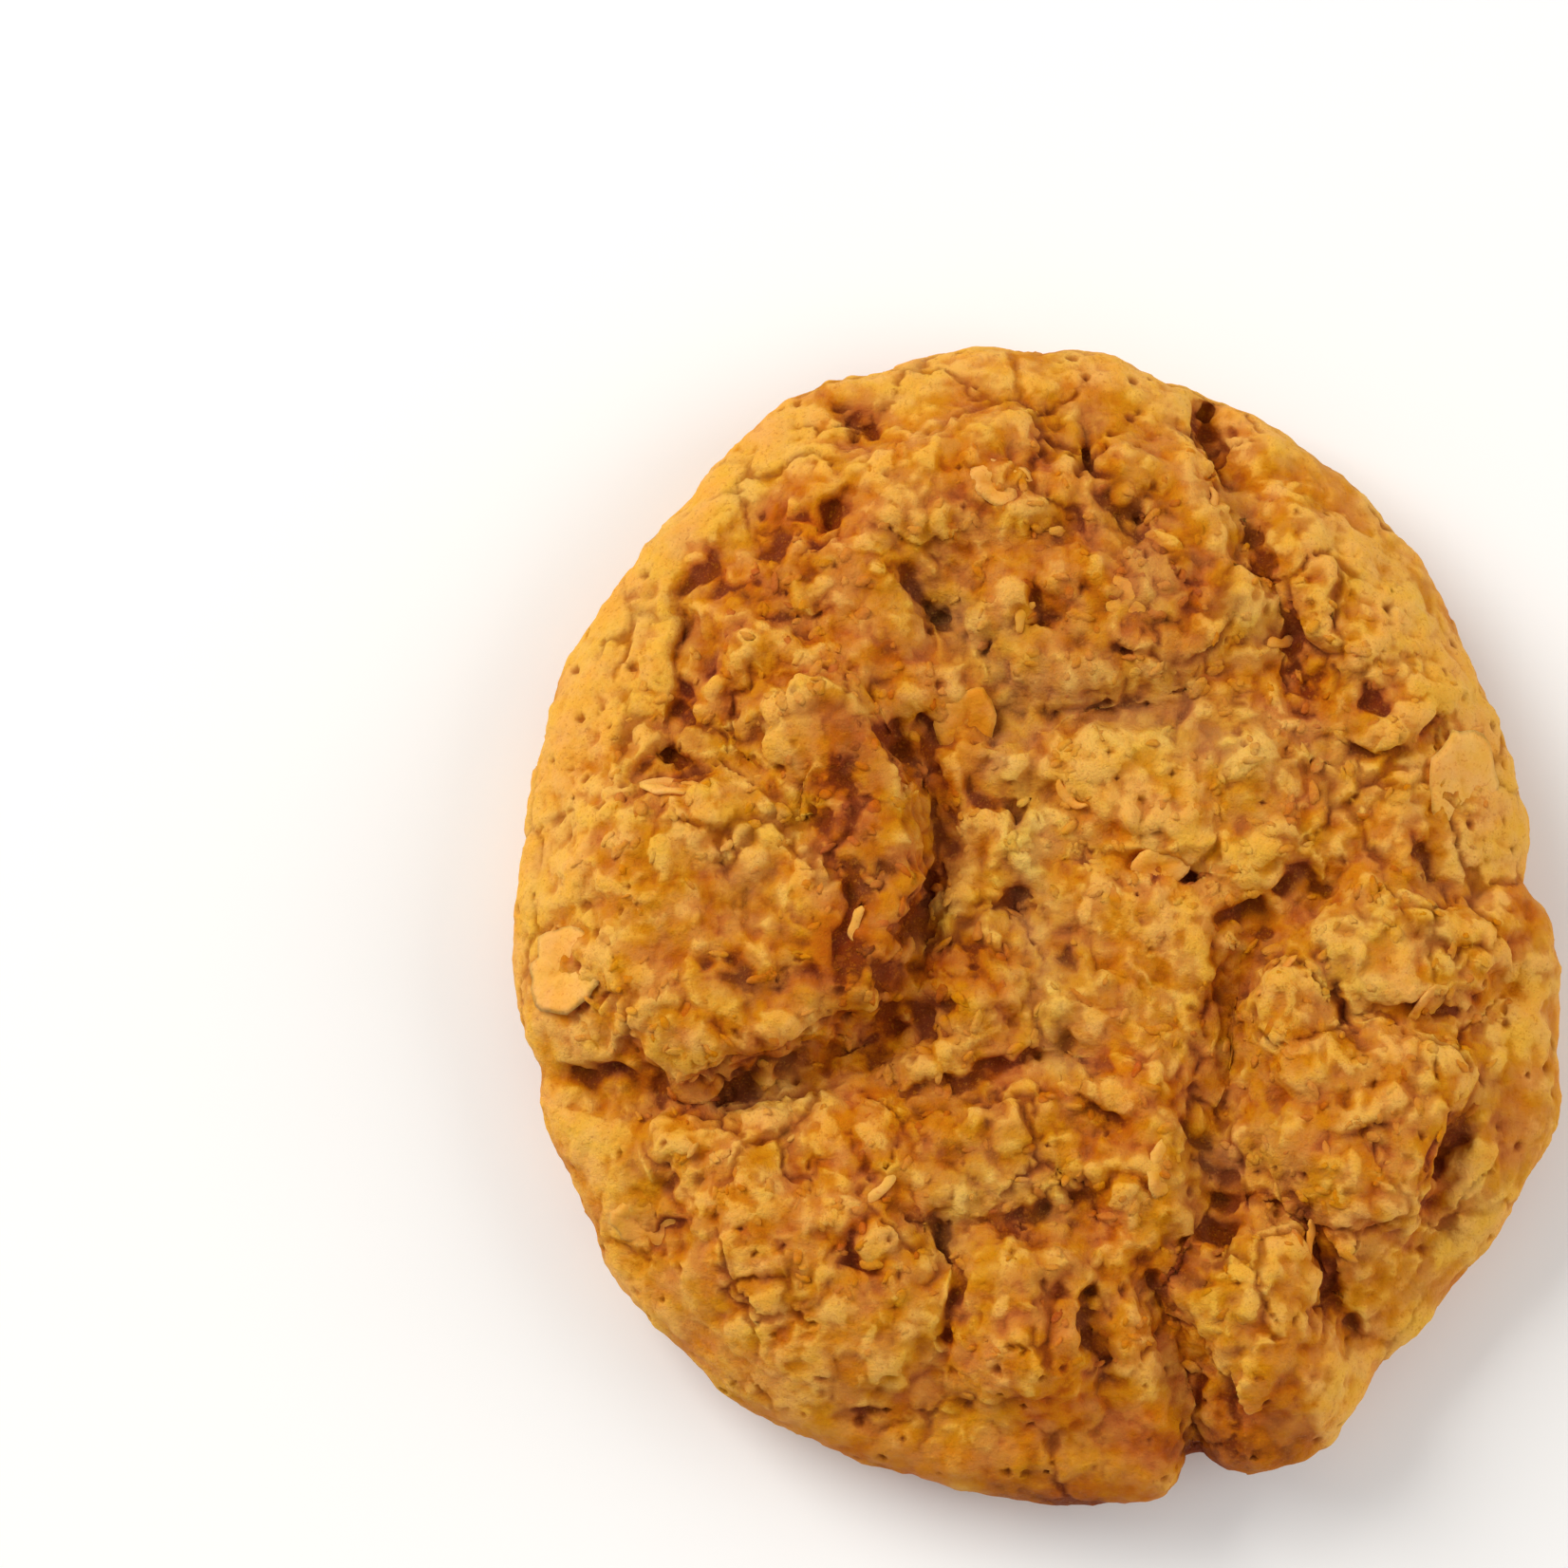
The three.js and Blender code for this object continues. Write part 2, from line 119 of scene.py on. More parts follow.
def smooth_step(values: np.ndarray, low: float, high: float) -> np.ndarray:
    """Rises smoothly from 0 to 1 as values go from low to high.

    Args:
        values: What is compared.
        low: Where the result is 0.
        high: Where the result is 1. It may lie below low.

    Returns:
        The smooth shares, of the same shape as values.
    """
    share = np.clip((values - low) / (high - low), 0, 1)
    return share * share * (3 - 2 * share)


def dot_rows(first: np.ndarray, second: np.ndarray) -> np.ndarray:
    """The dot product of each pair of rows."""
    return np.einsum("ij,ij->i", first, second)


def golden_place(index: int, count: int, reach: float, stretch: float, turn: float) -> np.ndarray:
    """One of many places that are spread over a disc.

    Args:
        index: Which of the places is meant.
        count: How many there are.
        reach: The disc's radius.
        stretch: How many times as far out it lies as in an even spread.
        turn: How far it is turned from its even bearing, in radians.

    Returns:
        The place, in the radius's units.
    """
    bearing = index * GOLDEN_ANGLE + turn
    out = reach * math.sqrt((index + 0.5) / count) * stretch
    return out * np.array((math.cos(bearing), math.sin(bearing)))


def stood_on(normal: Vector) -> Matrix:
    """The turn that brings what stands upright onto a slope."""
    return Vector((0, 0, 1)).rotation_difference(normal).to_matrix()


@dataclass
class Cells:
    """What a point knows of the cell it lies in.

    Attributes:
        near: Distance to the cell's own middle, in cell sizes.
        gap: How much further the next cell's middle is, in cell sizes.
        offset: From the cell's middle to the point, in cell sizes.
        ident: The whole numbers that name the cell.
    """

    near: np.ndarray
    gap: np.ndarray
    offset: np.ndarray
    ident: np.ndarray


@dataclass(frozen=True)
class NoiseField:
    """Repeatable noise over arrays of points, worked out from a hash of whole numbers.

    Attributes:
        seed: Which of the many fields this is.
        wave_gain: What brings the waves to about 1.
        layer_gain: How high each size of waves is, as a share of the last.
        cell_shift: How far a cell's middle may lie from its lattice place, in cell sizes.
    """

    seed: int
    wave_gain: float = 1.6
    layer_gain: float = 0.55
    cell_shift: float = 0.45

    def draw(self, cells: np.ndarray, channel: int) -> np.ndarray:
        """A random number for each lattice cell.

        Args:
            cells: Whole numbers with a last axis of three.
            channel: Which of the cell's many numbers is meant.

        Returns:
            Numbers from 0 to 1.
        """
        whole = cells.astype(np.int64)
        mixed = whole[..., 0] * 73856093 ^ whole[..., 1] * 19349663 ^ whole[..., 2] * 83492791
        mixed = (mixed ^ (self.seed * 7919 + channel * 104729)).astype(np.uint64) & np.uint64(0xFFFFFFFF)
        for shift, factor in ((15, 2246822519), (13, 3266489917)):
            mixed = (mixed ^ (mixed >> np.uint64(shift))) * np.uint64(factor) & np.uint64(0xFFFFFFFF)
        return (mixed ^ (mixed >> np.uint64(16))).astype(float) / 0xFFFFFFFF

    def draw_vector(self, cells: np.ndarray, channel: int) -> np.ndarray:
        """Three random numbers from -1 to 1 for each lattice cell."""
        return np.stack([2 * self.draw(cells, channel + axis) - 1 for axis in range(3)], axis=-1)

    def waves(self, points: np.ndarray, size: float, channel: int = 0) -> np.ndarray:
        """Smooth bumps of one size.

        Args:
            points: Places, in rows of three.
            size: The bumps' size, in the points' units.
            channel: Which of the field's many patterns is meant.

        Returns:
            Numbers from about -1 to 1.
        """
        scaled = points / size
        corner = np.floor(scaled)
        inside = scaled - corner
        fade = inside * inside * inside * (inside * (inside * 6 - 15) + 10)
        total = np.zeros(len(points))
        for step in np.ndindex(2, 2, 2):
            slope = self.draw_vector(corner + step, channel)
            weight = np.prod(np.where(step, fade, 1 - fade), axis=1)
            total += weight * dot_rows(slope, inside - step)
        return self.wave_gain * total

    def layers(self, points: np.ndarray, size: float, count: int, channel: int = 0) -> np.ndarray:
        """Smooth bumps of several sizes, each half as large and about half as high as the last.

        Args:
            points: Places, in rows of three.
            size: The largest bumps' size.
            count: How many sizes there are.
            channel: Which of the field's many patterns is meant.

        Returns:
            Numbers from about -1 to 1.
        """
        return sum(
            self.layer_gain**i * self.waves(points, size / 2**i, channel + 10 * i) for i in range(count)
        )

    def cells(self, points: np.ndarray, size: float, channel: int = 0) -> Cells:
        """The irregular cell that each point lies in.

        Args:
            points: Places, in rows of three.
            size: The cells' mean size.
            channel: Which of the field's many patterns is meant.

        Returns:
            The cells of all the points.
        """
        scaled = points / size
        corner = np.floor(scaled)
        near = np.full(len(points), 9.0)
        second = np.full(len(points), 9.0)
        offset = np.zeros_like(points)
        ident = np.zeros_like(points)
        for step in np.ndindex(3, 3, 3):
            cell = corner + step - 1
            away = scaled - cell - 0.5 - self.cell_shift * self.draw_vector(cell, channel)
            distance = np.linalg.norm(away, axis=1)
            nearer = distance < near
            second = np.where(nearer, near, np.minimum(second, distance))
            near = np.where(nearer, distance, near)
            offset[nearer] = away[nearer]
            ident[nearer] = cell[nearer]
        return Cells(near, second - near, offset, ident)


class PointMesh:
    """A mesh as arrays of points, normals and edges."""

    def __init__(self, mesh: bpy.types.Mesh) -> None:
        """Reads the mesh's points and edges.

        Args:
            mesh: The mesh.
        """
        self.mesh = mesh
        self.points = np.empty(3 * len(mesh.vertices))
        mesh.vertices.foreach_get("co", self.points)
        self.points = self.points.reshape(-1, 3)
        ends = np.empty(2 * len(mesh.edges), np.int32)
        mesh.edges.foreach_get("vertices", ends)
        self.ends = ends.reshape(-1, 2)
        self.valence = np.bincount(ends, minlength=len(self.points))

    def average(self, values: np.ndarray) -> np.ndarray:
        """The mean of each point's neighbours.

        Args:
            values: One number for each point.

        Returns:
            The neighbours' means.
        """
        first, last = self.ends.T
        count = len(self.points)
        total = np.bincount(first, values[last], count) + np.bincount(last, values[first], count)
        return total / self.valence

    def relaxed(self, values: np.ndarray, rounds: int) -> np.ndarray:
        """Values evened out over the neighbours.

        Args:
            values: One number or one row of numbers for each point.
            rounds: How many times half of each value comes from the neighbours.

        Returns:
            The evened values, of the same shape.
        """
        columns = values.reshape(len(values), -1).T
        for _ in range(rounds):
            columns = [0.5 * column + 0.5 * self.average(column) for column in columns]
        return np.stack(columns, axis=-1).reshape(values.shape)

    def normals(self) -> np.ndarray:
        """The outward normals of the points as they now are.

        Returns:
            One row of three for each point.
        """
        self.store()
        normals = np.empty(self.points.size)
        self.mesh.vertex_normals.foreach_get("vector", normals)
        return normals.reshape(-1, 3)

    def store(self) -> None:
        """Writes the points back to the mesh."""
        self.mesh.vertices.foreach_set("co", self.points.ravel())
        self.mesh.update()

    def mask(self, mask: Mask) -> np.ndarray:
        """The numbers that were stored for the finishes to read.

        Args:
            mask: Which numbers are meant.

        Returns:
            One number for each point.
        """
        values = np.empty(len(self.points), np.float32)
        self.mesh.attributes[mask.value].data.foreach_get("value", values)
        return values

    def store_mask(self, mask: Mask, values: np.ndarray) -> None:
        """Writes one number a point for the finishes to read."""
        attribute = self.mesh.attributes.new(mask.value, "FLOAT", "POINT")
        attribute.data.foreach_set("value", values.astype(np.float32))


def piece_from(name: str, mesh: bpy.types.Mesh) -> bpy.types.Object:
    """Puts a mesh into the scene as a smooth-shaded piece of the biscuit.

    Args:
        name: The piece's name.
        mesh: Its final mesh.

    Returns:
        The new object.
    """
    mesh.polygons.foreach_set("use_smooth", np.ones(len(mesh.polygons), bool))
    piece = bpy.data.objects.new(name, mesh)
    bpy.context.scene.collection.objects.link(piece)
    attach(piece, BODY)
    return piece


@dataclass(frozen=True)
class Mark:
    """A pit, furrow, lip or patch of the face, baked or of painted light or shade, along a line of places in
    millimetres.

    A sunk line is a furrow at the foot of a ledge. The ledge's low side lies away from the light. Its
    browning is painted shade at the furrow's foot, on the side away from the light. The sizes in capitals are
    shares of the mark's half-width and depth, apart from LEDGE_EDGE, which is in millimetres.

    Attributes:
        half_width: How far it reaches to either side.
        sink: How deep it lies. A negative depth is a lip or a lump.
        toast: How much browner it is. On a sunk mark this is painted shade. A negative value is paler, which
            on
        some rim strips and lips is painted light.
        line: The places that it runs through, or one place.
        cream: How much creamier it is. A negative value is more orange.
    """

    half_width: float
    sink: float
    toast: float
    line: tuple[Pair, ...]
    cream: float = 0.0

    SHADE_WAY: ClassVar[Pair] = (0.55, -0.83)
    FURROW_WIDTH: ClassVar[float] = 0.7
    FURROW_DEPTH: ClassVar[float] = 0.75
    LEDGE_WIDTH: ClassVar[float] = 2.6
    LEDGE_DEPTH: ClassVar[float] = 0.5
    LEDGE_EDGE: ClassVar[float] = 0.4
    FOOT_SHIFT: ClassVar[float] = 0.3

    def reach(self, places: np.ndarray) -> tuple[np.ndarray, np.ndarray]:
        """How far each place of the plan lies from the line, and on which side.

        Args:
            places: The places.

        Returns:
            The distances, and the same distances signed, with the side away from the light positive.
        """
        nearest = np.full(len(places), np.inf)
        signed = np.zeros(len(places))
        for start, end in zip(self.line, self.line[1:] or self.line):
            run = np.subtract(end, start)
            along = np.clip((places - start) @ run / max(run @ run, 1e-9), 0, 1)
            offset = places - start - along[:, None] * run
            distance = np.linalg.norm(offset, axis=1)
            square = np.array((-run[1], run[0])) / max(math.hypot(*run), 1e-9)
            side = offset @ square * math.copysign(1, square @ self.SHADE_WAY)
            signed = np.where(distance < nearest, side, signed)
            nearest = np.minimum(nearest, distance)
        return nearest, signed

    def shape(self, places: np.ndarray) -> tuple[np.ndarray, np.ndarray, np.ndarray]:
        """The mark's heights, browning and creaminess at places of the plan.

        Args:
            places: The places.

        Returns:
            The heights in millimetres, the browning and the creaminess.
        """
        nearest, signed = self.reach(places)
        middle = np.exp(-((nearest / self.half_width) ** 2))
        if self.sink <= 0 or len(self.line) == 1:
            return -self.sink * middle, self.toast * middle, self.cream * middle
        furrow = np.exp(-((nearest / (self.FURROW_WIDTH * self.half_width)) ** 2))
        ledge = np.exp(-((nearest / (self.LEDGE_WIDTH * self.half_width)) ** 2))
        ledge *= np.tanh(signed / self.LEDGE_EDGE)
        # Painted shade: a sunk line's browning sits at its foot, on the side away from the light.
        foot = np.exp(-(((signed - self.FOOT_SHIFT * self.half_width) / self.half_width) ** 2))
        foot *= np.sqrt(middle)
        depth = self.FURROW_DEPTH * furrow + self.LEDGE_DEPTH * ledge
        return -self.sink * depth, self.toast * foot, self.cream * middle


# The marks of the face by its quarters, and the broad strokes where its colour turns.
UPPER_LEFT_MARKS = (
    Mark(0.9, 0.9, 0.6, ((-25.7, 21.7), (-25.5, 16.8), (-26.2, 12.9), (-26.7, 10.4))),
    Mark(0.8, 0.9, 0.9, ((-27.7, 10.1), (-25.7, 10.3))),
    Mark(1.1, 0.8, 0.9, ((-15.0, 28.3), (-16.0, 24.7))),
    Mark(2.0, 0.3, 0.8, ((-17.9, 27.6), (-20.4, 22.7))),
    Mark(1.1, 1.0, 0.9, ((-9.6, 24.2), (-7.9, 20.3))),
    Mark(0.9, 0.9, 0.9, ((-0.4, 21.7), (0.3, 20.3))),
    Mark(0.4, 0.4, 0.5, ((-19.9, 20.7), (-15.8, 20.8))),
    Mark(1.2, 0.6, 0.8, ((-13.5, 37.4), (-12.0, 35.9))),
    Mark(0.5, 0.7, 0.6, ((-4.2, 18.8),)),
    Mark(0.6, 0.7, 0.7, ((-21.8, 13.9),)),
    Mark(0.7, 0.6, 0.6, ((-23.8, 16.8),)),
    Mark(0.8, 0.7, 0.7, ((-10.6, 12.4), (-6.7, 13.7), (-3.8, 14.2))),
    Mark(1.0, 0.9, 1.0, ((-10.4, 11.9),)),
    Mark(1.5, 0.6, 0.8, ((-8.0, 9.5), (-7.2, 5.0), (-9.6, -0.5))),
    Mark(1.3, -0.5, 0.1, ((-16.5, 14.8), (-12.8, 11.2), (-10.6, 6.0), (-10.4, 1.0))),
    Mark(1.2, 0.5, 1.0, ((-14.3, 9.9), (-14.8, 5.0))),
    Mark(1.0, 0.6, 1.0, ((-14.0, 1.1), (-14.5, -2.9))),
    Mark(1.2, 0.6, 1.2, ((-9.6, -0.9), (-10.6, -2.9))),
    Mark(1.4, -0.8, -0.6, ((-6.8, -0.4),)),
    # Paler strips along the upper-left rim: painted light where the rim turns to the key light.
    Mark(3.2, 0.0, -1.2, ((-36.5, 3.0), (-35.3, 8.9), (-30.9, 17.8), (-28.5, 21.5))),
    Mark(2.0, 0.0, -1.2, ((-30.0, 21.5), (-26.5, 27.5), (-22.5, 31.5), (-17.5, 35.5))),
    Mark(2.2, 0.0, 0.95, ((-14.0, 12.0), (-12.4, 9.0), (-11.6, 3.5), (-13.2, -4.0))),
    Mark(1.5, 0.6, 0.8, ((-24.5, 24.4), (-23.7, 25.2))),
    Mark(1.7, 0.7, 0.9, ((-11.5, -5.0), (-9.5, -7.0), (-7.0, -7.2))),
    Mark(1.9, 0.5, 0.4, ((-4.8, 8.0), (-4.3, 3.0))),
    Mark(1.8, -0.3, -0.5, ((-17.5, 13.4),)),
    Mark(2.2, -0.3, -0.5, ((-20.3, 4.5), (-18.3, 1.5))),
    Mark(1.8, 0.0, -0.7, ((-9.1, 35.8),)),
    Mark(1.8, -0.3, -0.9, ((-3.6, 25.7),)),
    Mark(1.6, 0.0, -0.5, ((-13.5, 20.0),)),
    Mark(1.8, 0.0, -0.5, ((-26.0, -3.5),)),
    Mark(1.4, -0.3, -0.5, ((-6.1, 18.6),)),
    Mark(2.5, 0.0, -0.5, ((-31.5, 1.7),)),
    Mark(0.8, 0.9, 0.9, ((-2.2, 0.6),)),
    Mark(0.7, 0.8, 0.7, ((-2.3, 7.3), (-1.3, 6.5))),
    Mark(3.0, -0.2, 0.05, ((-15.5, 12.0),)),
    # A raised white lip, painted paler as a highlight on its lit edge.
    Mark(0.5, -0.6, -0.8, ((-16.5, 8.0), (-16.7, 6.0), (-17.2, 4.5))),
)
UPPER_RIGHT_MARKS = (
    Mark(0.9, 0.8, 0.9, ((12.0, 36.5), (12.3, 34.5), (13.0, 31.9))),
    Mark(1.0, 1.1, 1.0, ((5.8, 29.6), (7.2, 28.1))),
    Mark(0.7, 0.7, 0.7, ((3.3, 32.9), (4.0, 30.6), (4.5, 29.1))),
    Mark(0.8, 0.8, 0.9, ((15.2, 26.7), (15.9, 24.7))),
    Mark(1.8, 0.8, 0.8, ((18.0, 18.6), (18.6, 16.0))),
    Mark(1.0, 0.8, 0.8, ((23.5, 14.8),)),
    Mark(0.8, 0.9, 1.0, ((27.7, 13.0), (28.8, 13.4))),
    Mark(0.5, 0.6, 0.7, ((19.6, 12.1), (21.6, 10.9), (24.0, 10.6), (26.5, 11.7))),
    Mark(1.3, 1.2, 1.4, ((9.2, 3.0), (10.9, 2.5))),
    Mark(1.5, 0.9, 1.1, ((13.3, -0.3), (16.2, 1.1), (19.1, 2.3))),
    Mark(1.2, 0.6, 0.9, ((26.7, 4.5), (27.4, 2.0))),
    Mark(0.6, 0.6, 0.6, ((5.0, 18.3), (7.0, 18.3))),
    Mark(0.6, 0.25, 0.0, ((1.1, 13.9), (4.0, 14.8), (7.0, 13.9), (12.8, 12.7))),
    Mark(6.0, 0.0, 0.5, ((2.5, 23.2), (9.0, 23.0))),
    Mark(1.8, 0.0, 0.9, ((35.2, 0.3),)),
    Mark(2.5, 0.0, 0.5, ((6.4, 32.8),)),
    Mark(1.6, 0.0, -0.9, ((31.5, 4.0), (31.2, 1.4)), 0.3),
    Mark(1.8, 0.0, -0.5, ((21.0, 3.0),)),
    Mark(1.8, 0.0, -0.4, ((23.5, 6.5),)),
    Mark(2.5, -0.4, -0.6, ((16.3, 11.7),)),
    Mark(2.0, -0.4, -0.5, ((14.8, 22.0),)),
    # Paler strips on the right rim: painted light.
    Mark(2.0, 0.0, -1.0, ((33.5, 7.5), (34.3, 3.8))),
    Mark(2.0, 0.0, -0.9, ((34.5, -5.5), (34.2, -9.0))),
    Mark(4.0, -0.2, -0.55, ((-1.1, 5.6), (6.3, 10.3), (11.0, 4.0), (9.9, -1.7))),
    Mark(2.0, -0.2, -0.5, ((26.5, 9.5),)),
    Mark(1.8, -0.3, -0.4, ((13.1, 25.5),)),
    Mark(2.6, 0.0, -1.0, ((22.6, 26.8), (26.4, 22.0), (31.8, 13.7))),
    # A raised C-shaped lip, painted paler as a highlight on its lit edge.
    Mark(0.5, -0.4, -0.35, ((7.0, 8.0), (6.0, 7.0), (6.0, 6.0), (6.8, 4.8))),
)
LOWER_LEFT_MARKS = (
    Mark(1.0, 0.9, 1.3, ((-32.3, -11.3), (-30.2, -11.2))),
    Mark(1.1, 1.3, 1.2, ((-22.6, -12.9), (-21.1, -11.8))),
    Mark(1.1, 0.7, 0.9, ((-26.7, -12.7), (-25.2, -14.2))),
    Mark(0.9, 0.3, 0.4, ((-18.4, -10.3), (-13.5, -9.8), (-9.6, -7.3))),
    Mark(0.7, 0.6, 0.7, ((-8.7, -13.2), (-5.7, -12.7), (-3.8, -11.5), (-0.9, -10.4))),
    Mark(1.2, 0.7, 0.8, ((-23.0, -4.3), (-20.8, -5.2))),
    Mark(1.3, 0.4, 0.5, ((-12.5, -18.3), (-11.0, -19.5))),
    Mark(1.5, -0.3, -1.1, ((-5.1, -20.5),)),
    Mark(2.0, -0.4, -0.6, ((-19.5, -15.5), (-17.5, -16.0))),
    Mark(2.0, 0.0, -0.5, ((-33.0, -15.0),)),
    Mark(1.6, 0.0, -0.6, ((-24.0, -19.5),)),
    Mark(1.2, 0.4, 0.5, ((-22.5, -9.3), (-20.5, -10.0))),
    Mark(1.6, -0.2, -0.6, ((0.3, -11.7),)),
    Mark(0.5, 0.5, 0.6, ((-27.7, -16.2), (-26.7, -19.1), (-25.5, -21.1))),
    Mark(0.6, 0.7, 0.9, ((-27.2, -23.6), (-25.5, -22.1))),
    Mark(1.2, 0.8, 0.7, ((-13.5, -23.3), (-13.2, -25.5))),
    Mark(0.7, 0.9, 0.9, ((-7.7, -23.1), (-6.2, -26.0), (-6.0, -28.0), (-7.0, -30.0))),
    Mark(0.6, 0.5, 0.7, ((-13.0, -35.6), (-10.5, -35.4))),
    Mark(0.6, 0.5, 0.7, ((-6.6, -34.9), (-5.1, -35.4))),
    Mark(2.5, 0.0, 1.3, ((-5.3, -4.0),)),
    Mark(4.0, 0.0, 0.35, ((-3.1, -15.5),)),
    Mark(0.8, 0.9, 0.9, ((-1.3, -21.6), (0.1, -21.6))),
    # Browner along the bottom rim: painted shade where the rim turns away from the light.
    Mark(4.0, 0.0, 0.4, ((-14.0, -38.5), (-5.0, -41.0), (5.0, -42.0), (15.0, -38.5))),
)
LOWER_RIGHT_MARKS = (
    Mark(
        1.5, 0.6, 0.6, ((12.2, -2.9), (11.6, -6.8), (10.8, -10.8), (9.9, -14.7), (11.2, -19.6), (11.8, -22.6))
    ),
    Mark(2.0, 0.0, -0.5, ((28.2, -23.4),)),
    Mark(1.4, -1.0, -1.2, ((31.0, -18.0),)),
    Mark(6.0, 0.0, 0.3, ((19.7, -23.7),)),
    Mark(1.8, 0.6, 0.8, ((11.5, -23.0), (10.5, -26.5))),
    Mark(1.0, 0.6, 0.6, ((5.5, -19.3), (7.5, -19.3))),
    Mark(1.0, 0.5, 0.6, ((1.9, -2.7), (2.4, -5.0))),
    Mark(5.0, 0.0, -0.4, ((23.1, -8.7),)),
    Mark(0.7, 0.7, 0.8, ((12.8, -20.6), (17.7, -20.9), (19.4, -24.6), (19.9, -27.5), (22.1, -29.5))),
    Mark(1.5, 0.8, 0.9, ((7.2, -25.5), (8.7, -27.5))),
    Mark(0.7, 0.9, 0.9, ((2.9, -27.5), (2.6, -30.0))),
    Mark(0.6, 0.8, 0.8, ((3.8, -31.9), (4.0, -34.4))),
    Mark(0.6, 0.7, 0.8, ((9.9, -32.4), (10.9, -34.9))),
    Mark(0.8, 0.9, 0.8, ((2.6, -20.6),)),
    Mark(0.5, 0.6, 0.6, ((2.4, -13.7), (5.0, -15.0))),
    Mark(1.2, 0.9, 1.1, ((27.0, -19.6), (27.5, -16.7))),
    Mark(1.2, 0.3, 0.9, ((28.9, -16.2), (29.9, -14.2))),
    Mark(0.5, 0.6, 0.7, ((23.5, -6.8), (26.5, -7.5), (30.8, -6.6))),
    Mark(0.5, 0.5, 0.45, ((19.1, -3.9), (20.6, -6.8), (22.6, -9.8), (24.0, -11.8))),
    Mark(0.5, 0.5, 0.6, ((21.1, -16.5), (24.0, -15.7))),
    # Browner along the lower edge: painted shade where the lower lobe and the rim turn away from the light.
    Mark(2.0, 0.0, 1.5, ((12.4, -39.0), (18.6, -38.8))),
    Mark(1.8, 0.0, 1.1, ((-2.5, -42.2), (7.3, -42.2))),
    Mark(3.0, 0.0, 0.5, ((-1.8, -25.5), (3.0, -31.5))),
    # A raised C-shaped lip, painted paler as a highlight on its lit edge.
    Mark(0.5, -0.4, -0.4, ((15.2, -4.9), (17.3, -6.3), (17.4, -8.3), (16.2, -9.8))),
)
CREAMY_STROKES = (
    Mark(2.6, 0.0, 0.25, ((-7.0, 20.5), (-1.0, 15.0), (6.5, 14.5), (17.5, 11.0)), 0.9),
    Mark(2.3, 0.0, 0.25, ((-3.5, 11.5), (-0.5, 7.5), (-1.0, 0.0), (1.5, -10.5)), 0.8),
    Mark(2.0, 0.0, 0.2, ((-6.5, -23.0), (-5.0, -19.5), (0.0, -20.5)), 0.7),
    Mark(2.0, 0.0, 0.2, ((10.5, -18.5), (15.0, -18.5)), 0.7),
    Mark(1.8, 0.0, 0.0, ((-22.5, -14.5), (-18.0, -12.0)), 0.9),
    Mark(2.0, 0.0, 0.0, ((6.0, 27.0), (8.5, 20.0)), 0.5),
    Mark(1.4, 0.0, -0.6, ((13.5, 30.0),), 0.7),
    Mark(1.6, 0.0, -0.7, ((16.3, 20.0),), 0.7),
    Mark(2.3, 0.0, 0.0, ((-21.0, 1.0),), 0.6),
    Mark(2.3, 0.0, 0.0, ((21.5, -5.0),), 0.7),
)
ORANGE_STROKES = (
    Mark(2.0, 0.0, 0.15, ((-17.5, 28.0), (-15.0, 28.5)), -0.4),
    Mark(2.0, 0.0, 0.15, ((-5.0, 31.5),), -0.4),
    Mark(3.0, 0.0, 0.2, ((0.0, -33.5),), -0.5),
    Mark(2.0, 0.0, 0.2, ((-6.5, -4.5),), -0.4),
    # A brown patch over the dark slits at the lower right: painted shade.
    Mark(1.4, 0.0, 0.9, ((27.0, -18.5), (28.5, -14.5)), -0.3),
    Mark(2.2, 0.0, 0.3, ((5.0, -14.0), (7.0, -18.5)), -0.4),
    Mark(2.0, 0.0, 0.4, ((18.0, -11.5),), -0.2),
    Mark(2.0, 0.0, 0.3, ((-12.0, -16.0),), -0.4),
    Mark(1.5, 0.0, 0.6, ((-14.0, -6.5), (-15.0, -3.0)), -0.3),
    Mark(2.0, 0.0, 0.2, ((-30.0, -5.5),), -0.4),
    Mark(1.6, 0.0, 0.3, ((33.0, -3.0),), -0.4),
    Mark(2.0, 0.0, 0.6, ((8.5, -37.0),), -0.3),
    Mark(2.0, 0.0, 0.7, ((14.5, -34.5),), -0.3),
    # Brown patches over dark pits, slits and a crevice: painted shade.
    Mark(1.3, 0.0, 0.8, ((-26.5, -23.0),), -0.3),
    Mark(1.6, 0.0, 0.8, ((-22.5, 22.0), (-23.0, 24.5)), -0.3),
    Mark(1.2, 0.0, 1.2, ((-25.5, -13.3),), -0.2),
    Mark(1.5, 0.0, 0.6, ((-20.7, -9.9),), -0.3),
    Mark(1.8, 0.0, 0.5, ((10.0, -25.5),)),
    Mark(1.5, 0.0, 0.5, ((16.5, -3.0),)),
    Mark(1.8, 0.0, 0.4, ((18.5, 27.0),)),
    Mark(1.6, 0.0, 0.5, ((23.0, -20.0),)),
)


@dataclass(frozen=True)
class PlateLayer:
    """Flat bits of one size that lie over each other in the dough. Lengths are in millimetres.

    Attributes:
        count: How many there are.
        half_length: The least and the greatest half-length.
        half_width: The least and the greatest share of the half-length.
        lift: The least and the greatest height over what lies below.
        slope: How far a bit's end may rise or fall.
        dome: How far a bit's middle stands over its edge.
        edge: The share of a bit's reach over which its edge falls off.
        hue: How much the bits differ in browning.
        seed: What the bits are drawn from.
    """

    count: int
    half_length: Pair
    half_width: Pair
    lift: Pair
    slope: float
    dome: float
    edge: float
    hue: float
    seed: int


